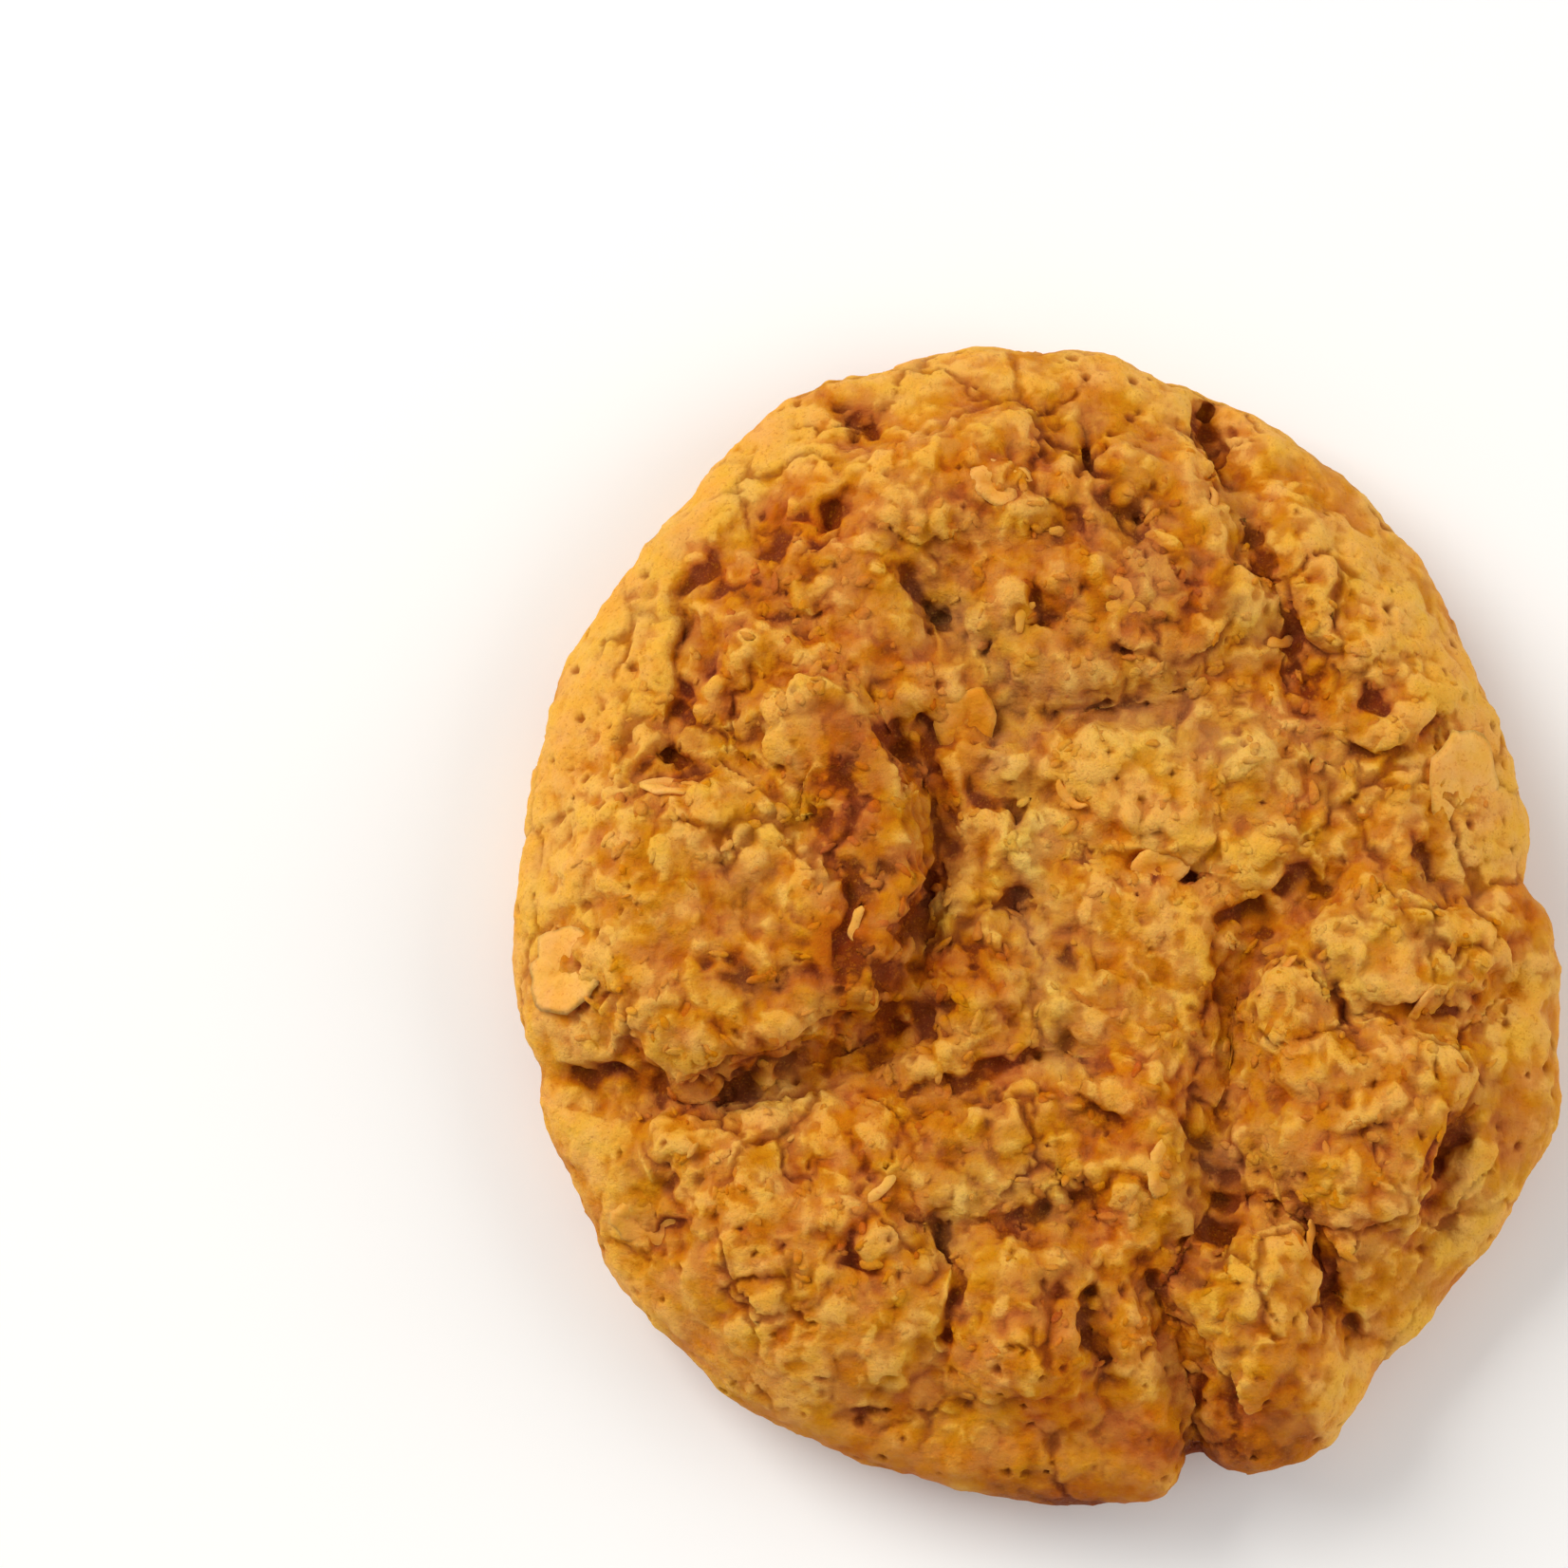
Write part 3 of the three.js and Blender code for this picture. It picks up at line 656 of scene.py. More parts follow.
@dataclass
class Ground:
    """The smooth skin that the relief is raised on, with a row or a number for each point, in millimetres.

    Attributes:
        points: Where the points are.
        normals: Their outward normals.
        share: How far out they lie, as a share of the outline's reach at their bearing.
        above: 0 at the base and 1 from a little above it.
        face: 1 on the face, and 0 on the side and the base.
        rough: How much of the relief is raised there.
    """

    points: np.ndarray
    normals: np.ndarray
    share: np.ndarray
    above: np.ndarray
    face: np.ndarray
    rough: np.ndarray


@dataclass
class Crust:
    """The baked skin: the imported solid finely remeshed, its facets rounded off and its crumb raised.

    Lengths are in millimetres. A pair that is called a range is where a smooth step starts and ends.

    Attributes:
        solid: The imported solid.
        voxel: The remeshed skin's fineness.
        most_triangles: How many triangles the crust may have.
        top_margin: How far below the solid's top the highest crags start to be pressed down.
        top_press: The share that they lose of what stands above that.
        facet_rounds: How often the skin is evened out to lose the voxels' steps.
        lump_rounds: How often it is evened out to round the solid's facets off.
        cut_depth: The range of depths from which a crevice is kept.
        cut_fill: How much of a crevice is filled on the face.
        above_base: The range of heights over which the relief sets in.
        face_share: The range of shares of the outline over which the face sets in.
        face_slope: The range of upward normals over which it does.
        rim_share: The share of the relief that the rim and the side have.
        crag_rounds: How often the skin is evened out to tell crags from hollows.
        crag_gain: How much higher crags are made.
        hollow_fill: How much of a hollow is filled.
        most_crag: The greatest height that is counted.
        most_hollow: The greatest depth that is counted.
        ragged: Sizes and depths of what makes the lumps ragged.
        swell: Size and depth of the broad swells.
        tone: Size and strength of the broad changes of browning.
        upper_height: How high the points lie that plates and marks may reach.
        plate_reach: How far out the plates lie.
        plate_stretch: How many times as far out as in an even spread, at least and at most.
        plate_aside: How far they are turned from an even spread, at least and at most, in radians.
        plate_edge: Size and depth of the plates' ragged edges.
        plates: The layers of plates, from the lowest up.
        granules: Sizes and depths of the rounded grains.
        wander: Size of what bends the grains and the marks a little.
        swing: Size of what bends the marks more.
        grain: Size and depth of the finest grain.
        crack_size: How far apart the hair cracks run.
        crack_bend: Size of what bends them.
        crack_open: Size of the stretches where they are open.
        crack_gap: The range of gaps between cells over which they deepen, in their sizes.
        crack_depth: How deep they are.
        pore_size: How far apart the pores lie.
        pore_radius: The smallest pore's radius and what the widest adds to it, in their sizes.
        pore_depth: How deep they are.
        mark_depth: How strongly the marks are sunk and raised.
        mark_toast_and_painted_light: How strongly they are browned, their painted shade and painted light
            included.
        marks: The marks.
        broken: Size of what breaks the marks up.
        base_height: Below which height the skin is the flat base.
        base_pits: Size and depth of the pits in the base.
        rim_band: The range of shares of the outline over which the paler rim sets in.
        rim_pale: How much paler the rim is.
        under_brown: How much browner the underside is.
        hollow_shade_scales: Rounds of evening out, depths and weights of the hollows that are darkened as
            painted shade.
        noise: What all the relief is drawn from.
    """

    solid: bpy.types.Object
    voxel: float = 0.37
    most_triangles: int = 190_000
    top_margin: float = 0.35
    top_press: float = 0.7
    facet_rounds: int = 6
    lump_rounds: int = 40
    cut_depth: Pair = (0.6, 1.2)
    cut_fill: float = 0.85
    above_base: Pair = (0.3, 2.0)
    face_share: Pair = (1.0, 0.82)
    face_slope: Pair = (-0.1, 0.5)
    rim_share: float = 0.6
    crag_rounds: int = 300
    crag_gain: float = 0.3
    hollow_fill: float = 0.3
    most_crag: float = 0.8
    most_hollow: float = 1.2
    ragged: tuple[Pair, ...] = ((3.4, 0.25), (1.3, 0.2))
    swell: Pair = (5.0, 0.35)
    tone: Pair = (6.0, 0.6)
    upper_height: float = 2.0
    plate_reach: float = 37.0
    plate_stretch: Pair = (0.9, 1.05)
    plate_aside: Pair = (-0.4, 0.4)
    plate_edge: Pair = (1.6, 0.16)
    plates: tuple[PlateLayer, ...] = (
        PlateLayer(
            count=110,
            half_length=(2.3, 4.0),
            half_width=(0.55, 0.85),
            lift=(0.05, 0.25),
            slope=0.3,
            dome=-0.1,
            edge=0.3,
            hue=0.3,
            seed=23,
        ),
        PlateLayer(
            count=1500,
            half_length=(0.8, 1.9),
            half_width=(0.4, 0.65),
            lift=(0.04, 0.22),
            slope=0.16,
            dome=0.1,
            edge=0.45,
            hue=0.32,
            seed=24,
        ),
    )
    granules: tuple[Pair, ...] = ((2.4, 0.14), (1.2, 0.11))
    wander: float = 1.7
    swing: float = 3.2
    grain: Pair = (1.5, 0.2)
    crack_size: float = 7.5
    crack_bend: float = 4.0
    crack_open: float = 9.0
    crack_gap: Pair = (0.07, 0.01)
    crack_depth: float = 0.4
    pore_size: float = 2.0
    pore_radius: Pair = (0.1, 0.22)
    pore_depth: float = 0.45
    mark_depth: float = 1.4
    mark_toast_and_painted_light: float = 0.6
    marks: tuple[Mark, ...] = (
        *UPPER_LEFT_MARKS,
        *UPPER_RIGHT_MARKS,
        *LOWER_LEFT_MARKS,
        *LOWER_RIGHT_MARKS,
        *CREAMY_STROKES,
        *ORANGE_STROKES,
    )
    broken: float = 2.2
    base_height: float = 0.35
    base_pits: Pair = (3.0, 0.25)
    rim_band: Pair = (0.97, 0.74)
    rim_pale: float = 0.12
    under_brown: float = 0.4
    hollow_shade_scales: tuple[tuple[int, float, float], ...] = ((10, 0.14, 0.25), (60, 0.5, 0.45), (260, 1.4, 0.3))
    noise: NoiseField = field(default_factory=lambda: NoiseField(11))

    @staticmethod
    def modified(mesh: bpy.types.Mesh, kind: str, **settings: object) -> bpy.types.Mesh:
        """A mesh as a modifier changes it.

        Args:
            mesh: The mesh before.
            kind: The modifier's type.
            **settings: The modifier's settings.

        Returns:
            The changed mesh.
        """
        bearer = bpy.data.objects.new("bearer", mesh)
        bpy.context.scene.collection.objects.link(bearer)
        modifier = bearer.modifiers.new("change", kind)
        for name, value in settings.items():
            setattr(modifier, name, value)
        graph = bpy.context.evaluated_depsgraph_get()
        changed = bpy.data.meshes.new_from_object(bearer.evaluated_get(graph))
        bpy.data.objects.remove(bearer)
        return changed

    @staticmethod
    def outline_share(points: np.ndarray) -> np.ndarray:
        """How far out each point lies.

        Args:
            points: The points.

        Returns:
            Shares of the outline's reach at each point's bearing.
        """
        bearing = np.arctan2(points[:, 1], points[:, 0])
        reach = np.hypot(points[:, 0], points[:, 1])
        bins = 120
        index = ((bearing + np.pi) / (2 * np.pi) * bins).astype(int) % bins
        outline = np.zeros(bins)
        np.maximum.at(outline, index, reach)
        return reach / outline[index]

    def ground(self, skin: PointMesh) -> Ground:
        """Tells where on the biscuit the smooth skin's points lie.

        Args:
            skin: The smooth skin.

        Returns:
            The points and their places.
        """
        points = skin.points / MM
        normals = skin.normals()
        share = self.outline_share(points)
        above = smooth_step(points[:, 2], *self.above_base)
        face = smooth_step(share, *self.face_share) * smooth_step(normals[:, 2], *self.face_slope)
        rough = above * (self.rim_share + (1 - self.rim_share) * face)
        return Ground(points, normals, share, above, face, rough)

    def lumpy(self, skin: PointMesh, ground: Ground) -> np.ndarray:
        """Rounds the solid's facets off into ragged lumps and keeps its deep crevices.

        Args:
            skin: The smooth skin.
            ground: Its points and their places.

        Returns:
            The moved points.
        """
        points, normals, face = ground.points, ground.normals, ground.face
        lumps = skin.relaxed(points, self.lump_rounds)
        cut = smooth_step(dot_rows(lumps - points, normals), *self.cut_depth)
        lumps += (cut * (1 - self.cut_fill * face))[:, None] * (points - lumps)
        sunk = dot_rows(skin.relaxed(points, self.crag_rounds) - lumps, normals)
        shift = self.hollow_fill * np.clip(sunk, 0, self.most_hollow)
        shift += self.crag_gain * np.clip(-sunk, 0, self.most_crag)
        moved = lumps + (face * shift)[:, None] * normals
        for i, (size, depth) in enumerate(self.ragged):
            for axis in range(3):
                channel = Pattern.RAGGED + 60 * i + 20 * axis
                moved[:, axis] += depth * ground.rough * self.noise.waves(points, size, channel)
        return moved

    def lay_plates(
        self, layer: PlateLayer, points: np.ndarray, height: np.ndarray, tone: np.ndarray
    ) -> None:
        """Lays dough-covered flakes and bits over each other like shingles.

        Args:
            layer: The bits' sizes.
            points: The crust's points.
            height: Their heights over the smooth skin, which the bits change.
            tone: Their baking tones, which the bits change.
        """
        random = np.random.default_rng(layer.seed)
        edge_size, edge_depth = self.plate_edge
        wobble = edge_depth * self.noise.layers(points, edge_size, 2, Pattern.PLATE_EDGE)
        upper = np.flatnonzero(points[:, 2] > self.upper_height)
        upper = upper[np.argsort(points[upper, 0])]
        across_face = points[upper, 0]
        for i in range(layer.count):
            stretch = random.uniform(*self.plate_stretch)
            aside = random.uniform(*self.plate_aside)
            middle = golden_place(i, layer.count, self.plate_reach, stretch, aside)
            turn = random.uniform(0, 2 * math.pi)
            long = random.uniform(*layer.half_length)
            wide = long * random.uniform(*layer.half_width)
            lift = random.uniform(*layer.lift)
            lean = layer.slope * random.uniform(-1, 1)
            hue = random.normal(0, layer.hue)
            margin = 1.2 * long
            first, last = np.searchsorted(across_face, (middle[0] - margin, middle[0] + margin))
            near = upper[first:last]
            near = near[np.abs(points[near, 1] - middle[1]) < margin]
            away = points[near, :2] - middle
            along = (away[:, 0] * math.cos(turn) + away[:, 1] * math.sin(turn)) / long
            across = (away[:, 1] * math.cos(turn) - away[:, 0] * math.sin(turn)) / wide
            spread = np.hypot(along, across) + wobble[near]
            cover = smooth_step(spread, 1, 1 - layer.edge)
            inside = cover > 0.5
            if inside.sum() < 3:
                continue
            top = height[near][inside].mean() + lift + lean * along + layer.dome * (0.5 - spread**2)
            height[near] += cover * (top - height[near])
            tone[near] += cover * (hue - tone[near])

    def rounded_grains(self, points: np.ndarray, size: float, channel: int) -> np.ndarray:
        """Leaning, rounded grains of uneven height.

        Args:
            points: The points.
            size: The grains' size.
            channel: Which of the noise field's patterns is meant.

        Returns:
            Heights from about -1 to 1.
        """
        cells = self.noise.cells(points, size, channel)
        level = self.noise.draw(cells.ident, channel + 7)
        lean = dot_rows(cells.offset, self.noise.draw_vector(cells.ident, channel + 11))
        dome = (0.35 + 0.65 * level) * (1 - 1.9 * cells.near**2)
        seam = np.exp(-cells.gap / 0.08)
        return dome + 0.8 * lean - 0.4 * seam

    def cracks(self, points: np.ndarray) -> np.ndarray:
        """Thin broken cracks.

        Args:
            points: The points.

        Returns:
            1 in the cracks' middles and 0 outside.
        """
        channels = [Pattern.CRACK_BEND + 50 * i for i in range(3)]
        bends = [self.noise.layers(points, self.crack_bend, 3, channel) for channel in channels]
        cells = self.noise.cells(points + np.stack(bends, axis=-1), self.crack_size, Pattern.CRACK)
        open_share = smooth_step(self.noise.waves(points, self.crack_open, Pattern.CRACK_OPEN), -0.1, 0.25)
        return smooth_step(cells.gap, *self.crack_gap) * open_share

    def pores(self, points: np.ndarray) -> np.ndarray:
        """Small round holes.

        Args:
            points: The points.

        Returns:
            1 in the holes' middles and 0 outside.
        """
        cells = self.noise.cells(points, self.pore_size, Pattern.PORE)
        smallest, added = self.pore_radius
        radius = smallest + added * self.noise.draw(cells.ident, Pattern.PORE_SIZE) ** 2
        return smooth_step(cells.near / radius, 1, 0.35)

    def drift(self, points: np.ndarray, size: float, channel: int) -> np.ndarray:
        """How far what lies on the face is pushed aside at each point, in rows of two."""
        return np.stack([self.noise.waves(points, size, channel + 20 * i) for i in range(2)], axis=-1)

    def crumb(self, ground: Ground) -> tuple[np.ndarray, np.ndarray, np.ndarray]:
        """The crumb's relief: swells, plates, grains, pores and hair cracks.

        Args:
            ground: The smooth skin's points and their places.

        Returns:
            The heights over the skin, the browning, and where the pores and cracks are.
        """
        points, above, rough = ground.points, ground.above, ground.rough
        swell_size, swell_depth = self.swell
        height = swell_depth * self.noise.layers(points, swell_size, 2, Pattern.SWELL)
        tone_size, tone_depth = self.tone
        tone = tone_depth * self.noise.layers(points, tone_size, 2, Pattern.TONE)
        for layer in self.plates:
            self.lay_plates(layer, points, height, tone)
        height *= rough
        wander = self.drift(points, self.wander, Pattern.WANDER)
        bent = points + 0.5 * np.column_stack([wander, wander[:, 0]])
        for i, (size, depth) in enumerate(self.granules):
            rugged = 0.25 + smooth_step(self.noise.waves(points, 4 * size, Pattern.RUGGED + i), -0.25, 0.5)
            height += depth * rough * rugged * self.rounded_grains(bent, size, Pattern.GRANULE + 40 * i)
        grain_size, grain_depth = self.grain
        grain = self.noise.layers(points, grain_size, 3, Pattern.GRAIN)
        height += grain_depth * above * (0.45 + 0.55 * ground.face) * grain
        pores = above * self.pores(points)
        cracks = rough * self.cracks(points)
        height -= np.maximum(self.pore_depth * pores, self.crack_depth * cracks)
        return height, tone, np.maximum(pores, cracks)

    def add_marks(self, points: np.ndarray, height: np.ndarray) -> tuple[np.ndarray, np.ndarray]:
        """Sinks and raises the marks of the face.

        Args:
            points: The smooth skin's points.
            height: Their heights over the skin, which the marks change.

        Returns:
            The marks' browning, with their painted shade and painted light, and their creaminess.
        """
        upper = np.flatnonzero(points[:, 2] > self.upper_height)
        toast = np.zeros(len(points))
        cream = np.zeros(len(points))
        wander = self.drift(points, self.wander, Pattern.WANDER)
        swing = self.drift(points, self.swing, Pattern.SWING)
        places = (points[:, :2] + 0.4 * wander + 0.8 * swing)[upper]
        broken = 0.6 + 0.7 * self.noise.layers(points[upper], self.broken, 2, Pattern.BROKEN)
        patchy = np.clip(1.3 * broken, 0.3, 1.4)
        for mark in self.marks:
            rise, brown, pale = mark.shape(places)
            height[upper] += self.mark_depth * rise * broken
            # The browning of sunk marks is painted shade, and the paler rim strips and lips are painted
            # light.
            toast[upper] += self.mark_toast_and_painted_light * brown * (patchy if mark.sink > 0 else 1)
            cream[upper] += pale * (0.7 + 0.5 * broken)
        return toast, cream

    def build(self) -> bpy.types.Object:
        """Makes the crust's mesh with its masks.

        Returns:
            The crust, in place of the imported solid.
        """
        voxels = {"mode": "VOXEL", "voxel_size": self.voxel * MM}
        skin = PointMesh(self.modified(self.solid.data.copy(), "REMESH", **voxels))
        skin.points = skin.relaxed(skin.points, self.facet_rounds)
        ground = self.ground(skin)
        points, normals = ground.points, ground.normals
        moved = self.lumpy(skin, ground)
        height, tone, pore = self.crumb(ground)
        toast, cream = self.add_marks(points, height)
        pit_size, pit_depth = self.base_pits
        pits = np.abs(pit_depth * self.noise.layers(points, pit_size, 3, Pattern.BASE))
        height = np.where(points[:, 2] < self.base_height, -pits, height)

        raised = moved + height[:, None] * normals
        ceiling = points[:, 2].max() - self.top_margin
        over = np.maximum(raised[:, 2] - ceiling, 0)
        raised[:, 2] = np.maximum(raised[:, 2] - self.top_press * over, 0)
        skin.points = raised * MM
        skin.store()
        rim = 1 - smooth_step(ground.share, *self.rim_band)
        rim *= ground.above * smooth_step(normals[:, 2], -0.3, 0.4)
        under = smooth_step(normals[:, 2], -0.2, -0.8)
        toast += 0.5 + 0.5 * tone - self.rim_pale * rim + self.under_brown * under
        self.store_masks(skin, pore, toast, cream)
        return self.thinned(skin.mesh)

    def store_masks(self, skin: PointMesh, pore: np.ndarray, toast: np.ndarray, cream: np.ndarray) -> None:
        """Stores where the crust is hollow, for painted shade, and where it is pored, toasted and creamy.

        Args:
            skin: The crust's final points.
            pore: Where the pores and cracks are.
            toast: How brown the bits and patches are, with plain dough at 0.5, and the marks' painted shade
                and
            painted light.
            cream: How creamy they are, with plain dough at 0.
        """
        normals = skin.normals()
        # Hollowness at three sizes, which the finishes turn into painted shade.
        hollow_shade = np.zeros(len(skin.points))
        for rounds, depth, weight in self.hollow_shade_scales:
            smooth = skin.relaxed(skin.points, rounds)
            sunk = dot_rows(smooth - skin.points, normals) / MM
            hollow_shade += weight * np.clip(sunk / depth, -1, 1)
        skin.store_mask(Mask.HOLLOW_SHADE, np.clip(0.5 + 0.5 * hollow_shade, 0, 1))
        skin.store_mask(Mask.PORE, pore)
        skin.store_mask(Mask.TOAST_AND_PAINTED_LIGHT, np.clip(toast, 0, 1.5))
        skin.store_mask(Mask.CREAM, cream)

    def thinned(self, mesh: bpy.types.Mesh) -> bpy.types.Object:
        """Brings the crust's mesh down to the triangles that it may have.

        Args:
            mesh: The mesh with its masks.

        Returns:
            The crust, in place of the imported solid.
        """
        kept = min(self.most_triangles / (2 * len(mesh.polygons)), 1.0)
        thin = PointMesh(self.modified(mesh, "DECIMATE", ratio=kept))
        thin.points[:, 2] = np.maximum(thin.points[:, 2], 0)
        thin.store()
        crust = piece_from("crust", thin.mesh)
        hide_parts(SOLID_NODE)
        return crust


class ShaderBench:
    """Makes and joins the nodes of one node tree."""

    def __init__(self, tree: bpy.types.NodeTree) -> None:
        """Starts on an empty tree."""
        self.tree = tree
        self.tree.nodes.clear()

    def node(self, kind: str, **settings: object) -> bpy.types.Node:
        """Adds a node.

        Args:
            kind: The node's type.
            **settings: Its settings.

        Returns:
            The new node.
        """
        made = self.tree.nodes.new(kind)
        for name, value in settings.items():
            setattr(made, name, value)
        return made

    def put(self, target: Socket, value: object) -> None:
        """Sets an input.

        Args:
            target: The input.
            value: Another node's output or a plain value.
        """
        if isinstance(value, Socket):
            self.tree.links.new(value, target)
        else:
            target.default_value = value

    def put_all(self, node: bpy.types.Node, values: dict[str, object]) -> None:
        """Sets a node's inputs.

        Args:
            node: The node.
            values: Other nodes' outputs or plain values, by the inputs' names.
        """
        for name, value in values.items():
            self.put(node.inputs[name], value)

    def noise(self, places: Socket, scale: object, detail: float, rough: float = 0.5) -> Socket:
        """A noise pattern.

        Args:
            places: Where it is looked up.
            scale: How many waves it has in a metre.
            detail: How many finer sizes of waves it has.
            rough: How high each size is, as a share of the last.

        Returns:
            The pattern's strength, from 0 to 1.
        """
        made = self.node("ShaderNodeTexNoise")
        self.put_all(made, {"Vector": places, "Scale": scale, "Detail": detail, "Roughness": rough})
        return made.outputs["Fac"]

    def shifted(self, places: Socket) -> Socket:
        """The same places moved aside, so that a second noise there differs from the first.

        Args:
            places: The places.

        Returns:
            The moved places.
        """
        move = self.node("ShaderNodeVectorMath", operation="ADD")
        self.put(move.inputs[0], places)
        self.put(move.inputs[1], (1.7, 0.9, 2.3))
        return move.outputs["Vector"]

    def number(self, operation: str, *values: object) -> Socket:
        """One sum on two or three numbers.

        Args:
            operation: The sum's name.
            *values: The numbers.

        Returns:
            The result.
        """
        made = self.node("ShaderNodeMath", operation=operation)
        for socket, value in zip(made.inputs, values):
            self.put(socket, value)
        return made.outputs[0]

    def spread(
        self, value: object, low: float, high: float, to_low: float = 0.0, to_high: float = 1.0
    ) -> Socket:
        """A value smoothly spread from one range to another and held at its ends.

        Args:
            value: The value.
            low: Where its range starts.
            high: Where its range ends.
            to_low: What the start becomes.
            to_high: What the end becomes.

        Returns:
            The spread value.
        """
        made = self.node("ShaderNodeMapRange", interpolation_type="SMOOTHSTEP")
        ends = {"From Min": low, "From Max": high, "To Min": to_low, "To Max": to_high}
        self.put_all(made, {"Value": value, **ends})
        return made.outputs[0]

    def blend(self, share: object, first: object, second: object) -> Socket:
        """Two colours blended.

        Args:
            share: How much of the second there is.
            first: The first colour.
            second: The second colour.

        Returns:
            The blended colour.
        """
        made = self.node("ShaderNodeMix", data_type="RGBA", blend_type="MIX")
        for index, value in ((0, share), (6, first), (7, second)):
            self.put(made.inputs[index], value)
        return made.outputs[2]

    def stored(self, mask: Mask) -> Socket:
        """A mask that the mesh carries."""
        return self.node("ShaderNodeAttribute", attribute_name=mask.value).outputs["Fac"]

    def surface(self, values: dict[str, object]) -> None:
        """Makes the material's shader and its output.

        Args:
            values: The shader's inputs by name.
        """
        shader = self.node("ShaderNodeBsdfPrincipled")
        self.put_all(shader, values)
        self.put_all(self.node("ShaderNodeOutputMaterial"), {"Surface": shader.outputs["BSDF"]})


@dataclass
class SharedEffects:
    """Node groups that more than one finish uses.

    A scale is how many waves a noise has in a metre. A range is where a smooth step starts and ends.

    Attributes:
        hollow_shade_share: How strongly hollows are darkened, as painted shade.
        toast_and_painted_light_share: How strongly the mesh's toasting browns, the marks' painted shade and
            painted light included.
        level_shift: What is added to the browning everywhere.
        patches: Scales and strengths of the patches of browning.
        golden_range: The range of browning over which pale dough turns golden.
        brown_range: The range over which golden dough turns brown.
        deep_range: The range over which brown dough turns deep brown.
        dust_scale: The scale of the finest specks.
        light_dust: The range of the golden specks and their least and greatest strength.
        dark_dust: The range of the brown specks and their least and greatest strength.
        hue_scale: The scale of the slight changes of hue.
        hue: Their range, and the hues that they run between.
        strength_scale: The scale of the slight changes of saturation.
        strength: Their range, and the saturations that they run between.
        cream_hue: How far creamy dough's hue is turned.
        cream_strength: How far its saturation is raised.
        fine_detail: Detail and roughness of the fine crumb's noise.
        grain_scale: The scale of the fine crumb's grains, as a share of the noise's.
        grain_share: How deep the seams between the grains are.
        baking: The oven browning, with painted shade in the hollows.
        crumb: The fine crumb.
    """

    hollow_shade_share: float = 0.5
    toast_and_painted_light_share: float = 0.35
    level_shift: float = -0.07
    patches: tuple[Pair, ...] = ((110.0, 0.12), (360.0, 0.1), (1250.0, 0.1))
    golden_range: Pair = (0.3, 0.48)
    brown_range: Pair = (0.48, 0.64)
    deep_range: Pair = (0.6, 0.8)
    dust_scale: float = 2600.0
    light_dust: tuple[float, ...] = (0.56, 0.7, 0.0, 0.3)
    dark_dust: tuple[float, ...] = (0.44, 0.3, 0.0, 0.4)
    hue_scale: float = 240.0
    hue: tuple[float, ...] = (0.3, 0.7, 0.494, 0.507)
    strength_scale: float = 420.0
    strength: tuple[float, ...] = (0.35, 0.65, 1.02, 0.97)
    cream_hue: float = 0.014
    cream_strength: float = -0.05
    fine_detail: Pair = (5.0, 0.68)
    grain_scale: float = 0.7
    grain_share: float = 0.35
    baking: bpy.types.NodeTree = field(init=False)
    crumb: bpy.types.NodeTree = field(init=False)

    def __post_init__(self) -> None:
        """Builds the groups once."""
        self.baking = self.build_baking()
        self.crumb = self.build_crumb()

    @staticmethod
    def new_group(name: str, inputs: dict[str, str], outputs: dict[str, str]) -> ShaderBench:
        """An empty group with named sockets.

        Args:
            name: The group's name.
            inputs: Socket types by name.
            outputs: Socket types by name.

        Returns:
            The bench that the group's nodes are made on.
        """
        tree = bpy.data.node_groups.new(name, "ShaderNodeTree")
        for in_out, sockets in (("INPUT", inputs), ("OUTPUT", outputs)):
            for socket, kind in sockets.items():
                tree.interface.new_socket(socket, in_out=in_out, socket_type=kind)
        return ShaderBench(tree)

    def build_baking(self) -> bpy.types.NodeTree:
        """Oven browning: golden dough with paler and browner patches, and painted shade that darkens the
        hollows.

        Returns:
            The group.
        """
        colour, number = "NodeSocketColor", "NodeSocketFloat"
        inputs = {"Golden": colour, "Pale": colour, "Brown": colour, "Deep": colour}
        inputs |= {"Hollow": number, "Toast": number, "Cream": number}
        bench = self.new_group("oven browning and painted shade", inputs, {"Colour": colour})
        given = bench.node("NodeGroupInput").outputs
        places = bench.node("ShaderNodeTexCoord").outputs["Object"]
        # The browning level takes painted shade from the hollows, besides the toasting and the random
        # patches.
        level = bench.number("MULTIPLY_ADD", given["Hollow"], self.hollow_shade_share, self.level_shift)
        level = bench.number("MULTIPLY_ADD", given["Toast"], self.toast_and_painted_light_share, level)
        for scale, share in self.patches:
            level = bench.number("MULTIPLY_ADD", bench.noise(places, scale, 3.0, 0.6), share, level)
        tone = bench.blend(bench.spread(level, *self.golden_range), given["Pale"], given["Golden"])
        tone = bench.blend(bench.spread(level, *self.brown_range), tone, given["Brown"])
        tone = bench.blend(bench.spread(level, *self.deep_range), tone, given["Deep"])
        dust = bench.noise(places, self.dust_scale, 2.0, 0.7)
        tone = bench.blend(bench.spread(dust, *self.light_dust), tone, given["Golden"])
        tone = bench.blend(bench.spread(dust, *self.dark_dust), tone, given["Brown"])
        hue = bench.spread(bench.noise(places, self.hue_scale, 3.0, 0.6), *self.hue)
        hue = bench.number("MULTIPLY_ADD", given["Cream"], self.cream_hue, hue)
        elsewhere = bench.shifted(places)
        strength = bench.spread(bench.noise(elsewhere, self.strength_scale, 3.0, 0.6), *self.strength)
        strength = bench.number("MULTIPLY_ADD", given["Cream"], self.cream_strength, strength)
        turned = bench.node("ShaderNodeHueSaturation")
        bench.put_all(turned, {"Color": tone, "Hue": hue, "Saturation": strength})
        bench.put_all(bench.node("NodeGroupOutput"), {"Colour": turned.outputs["Color"]})
        return bench.tree

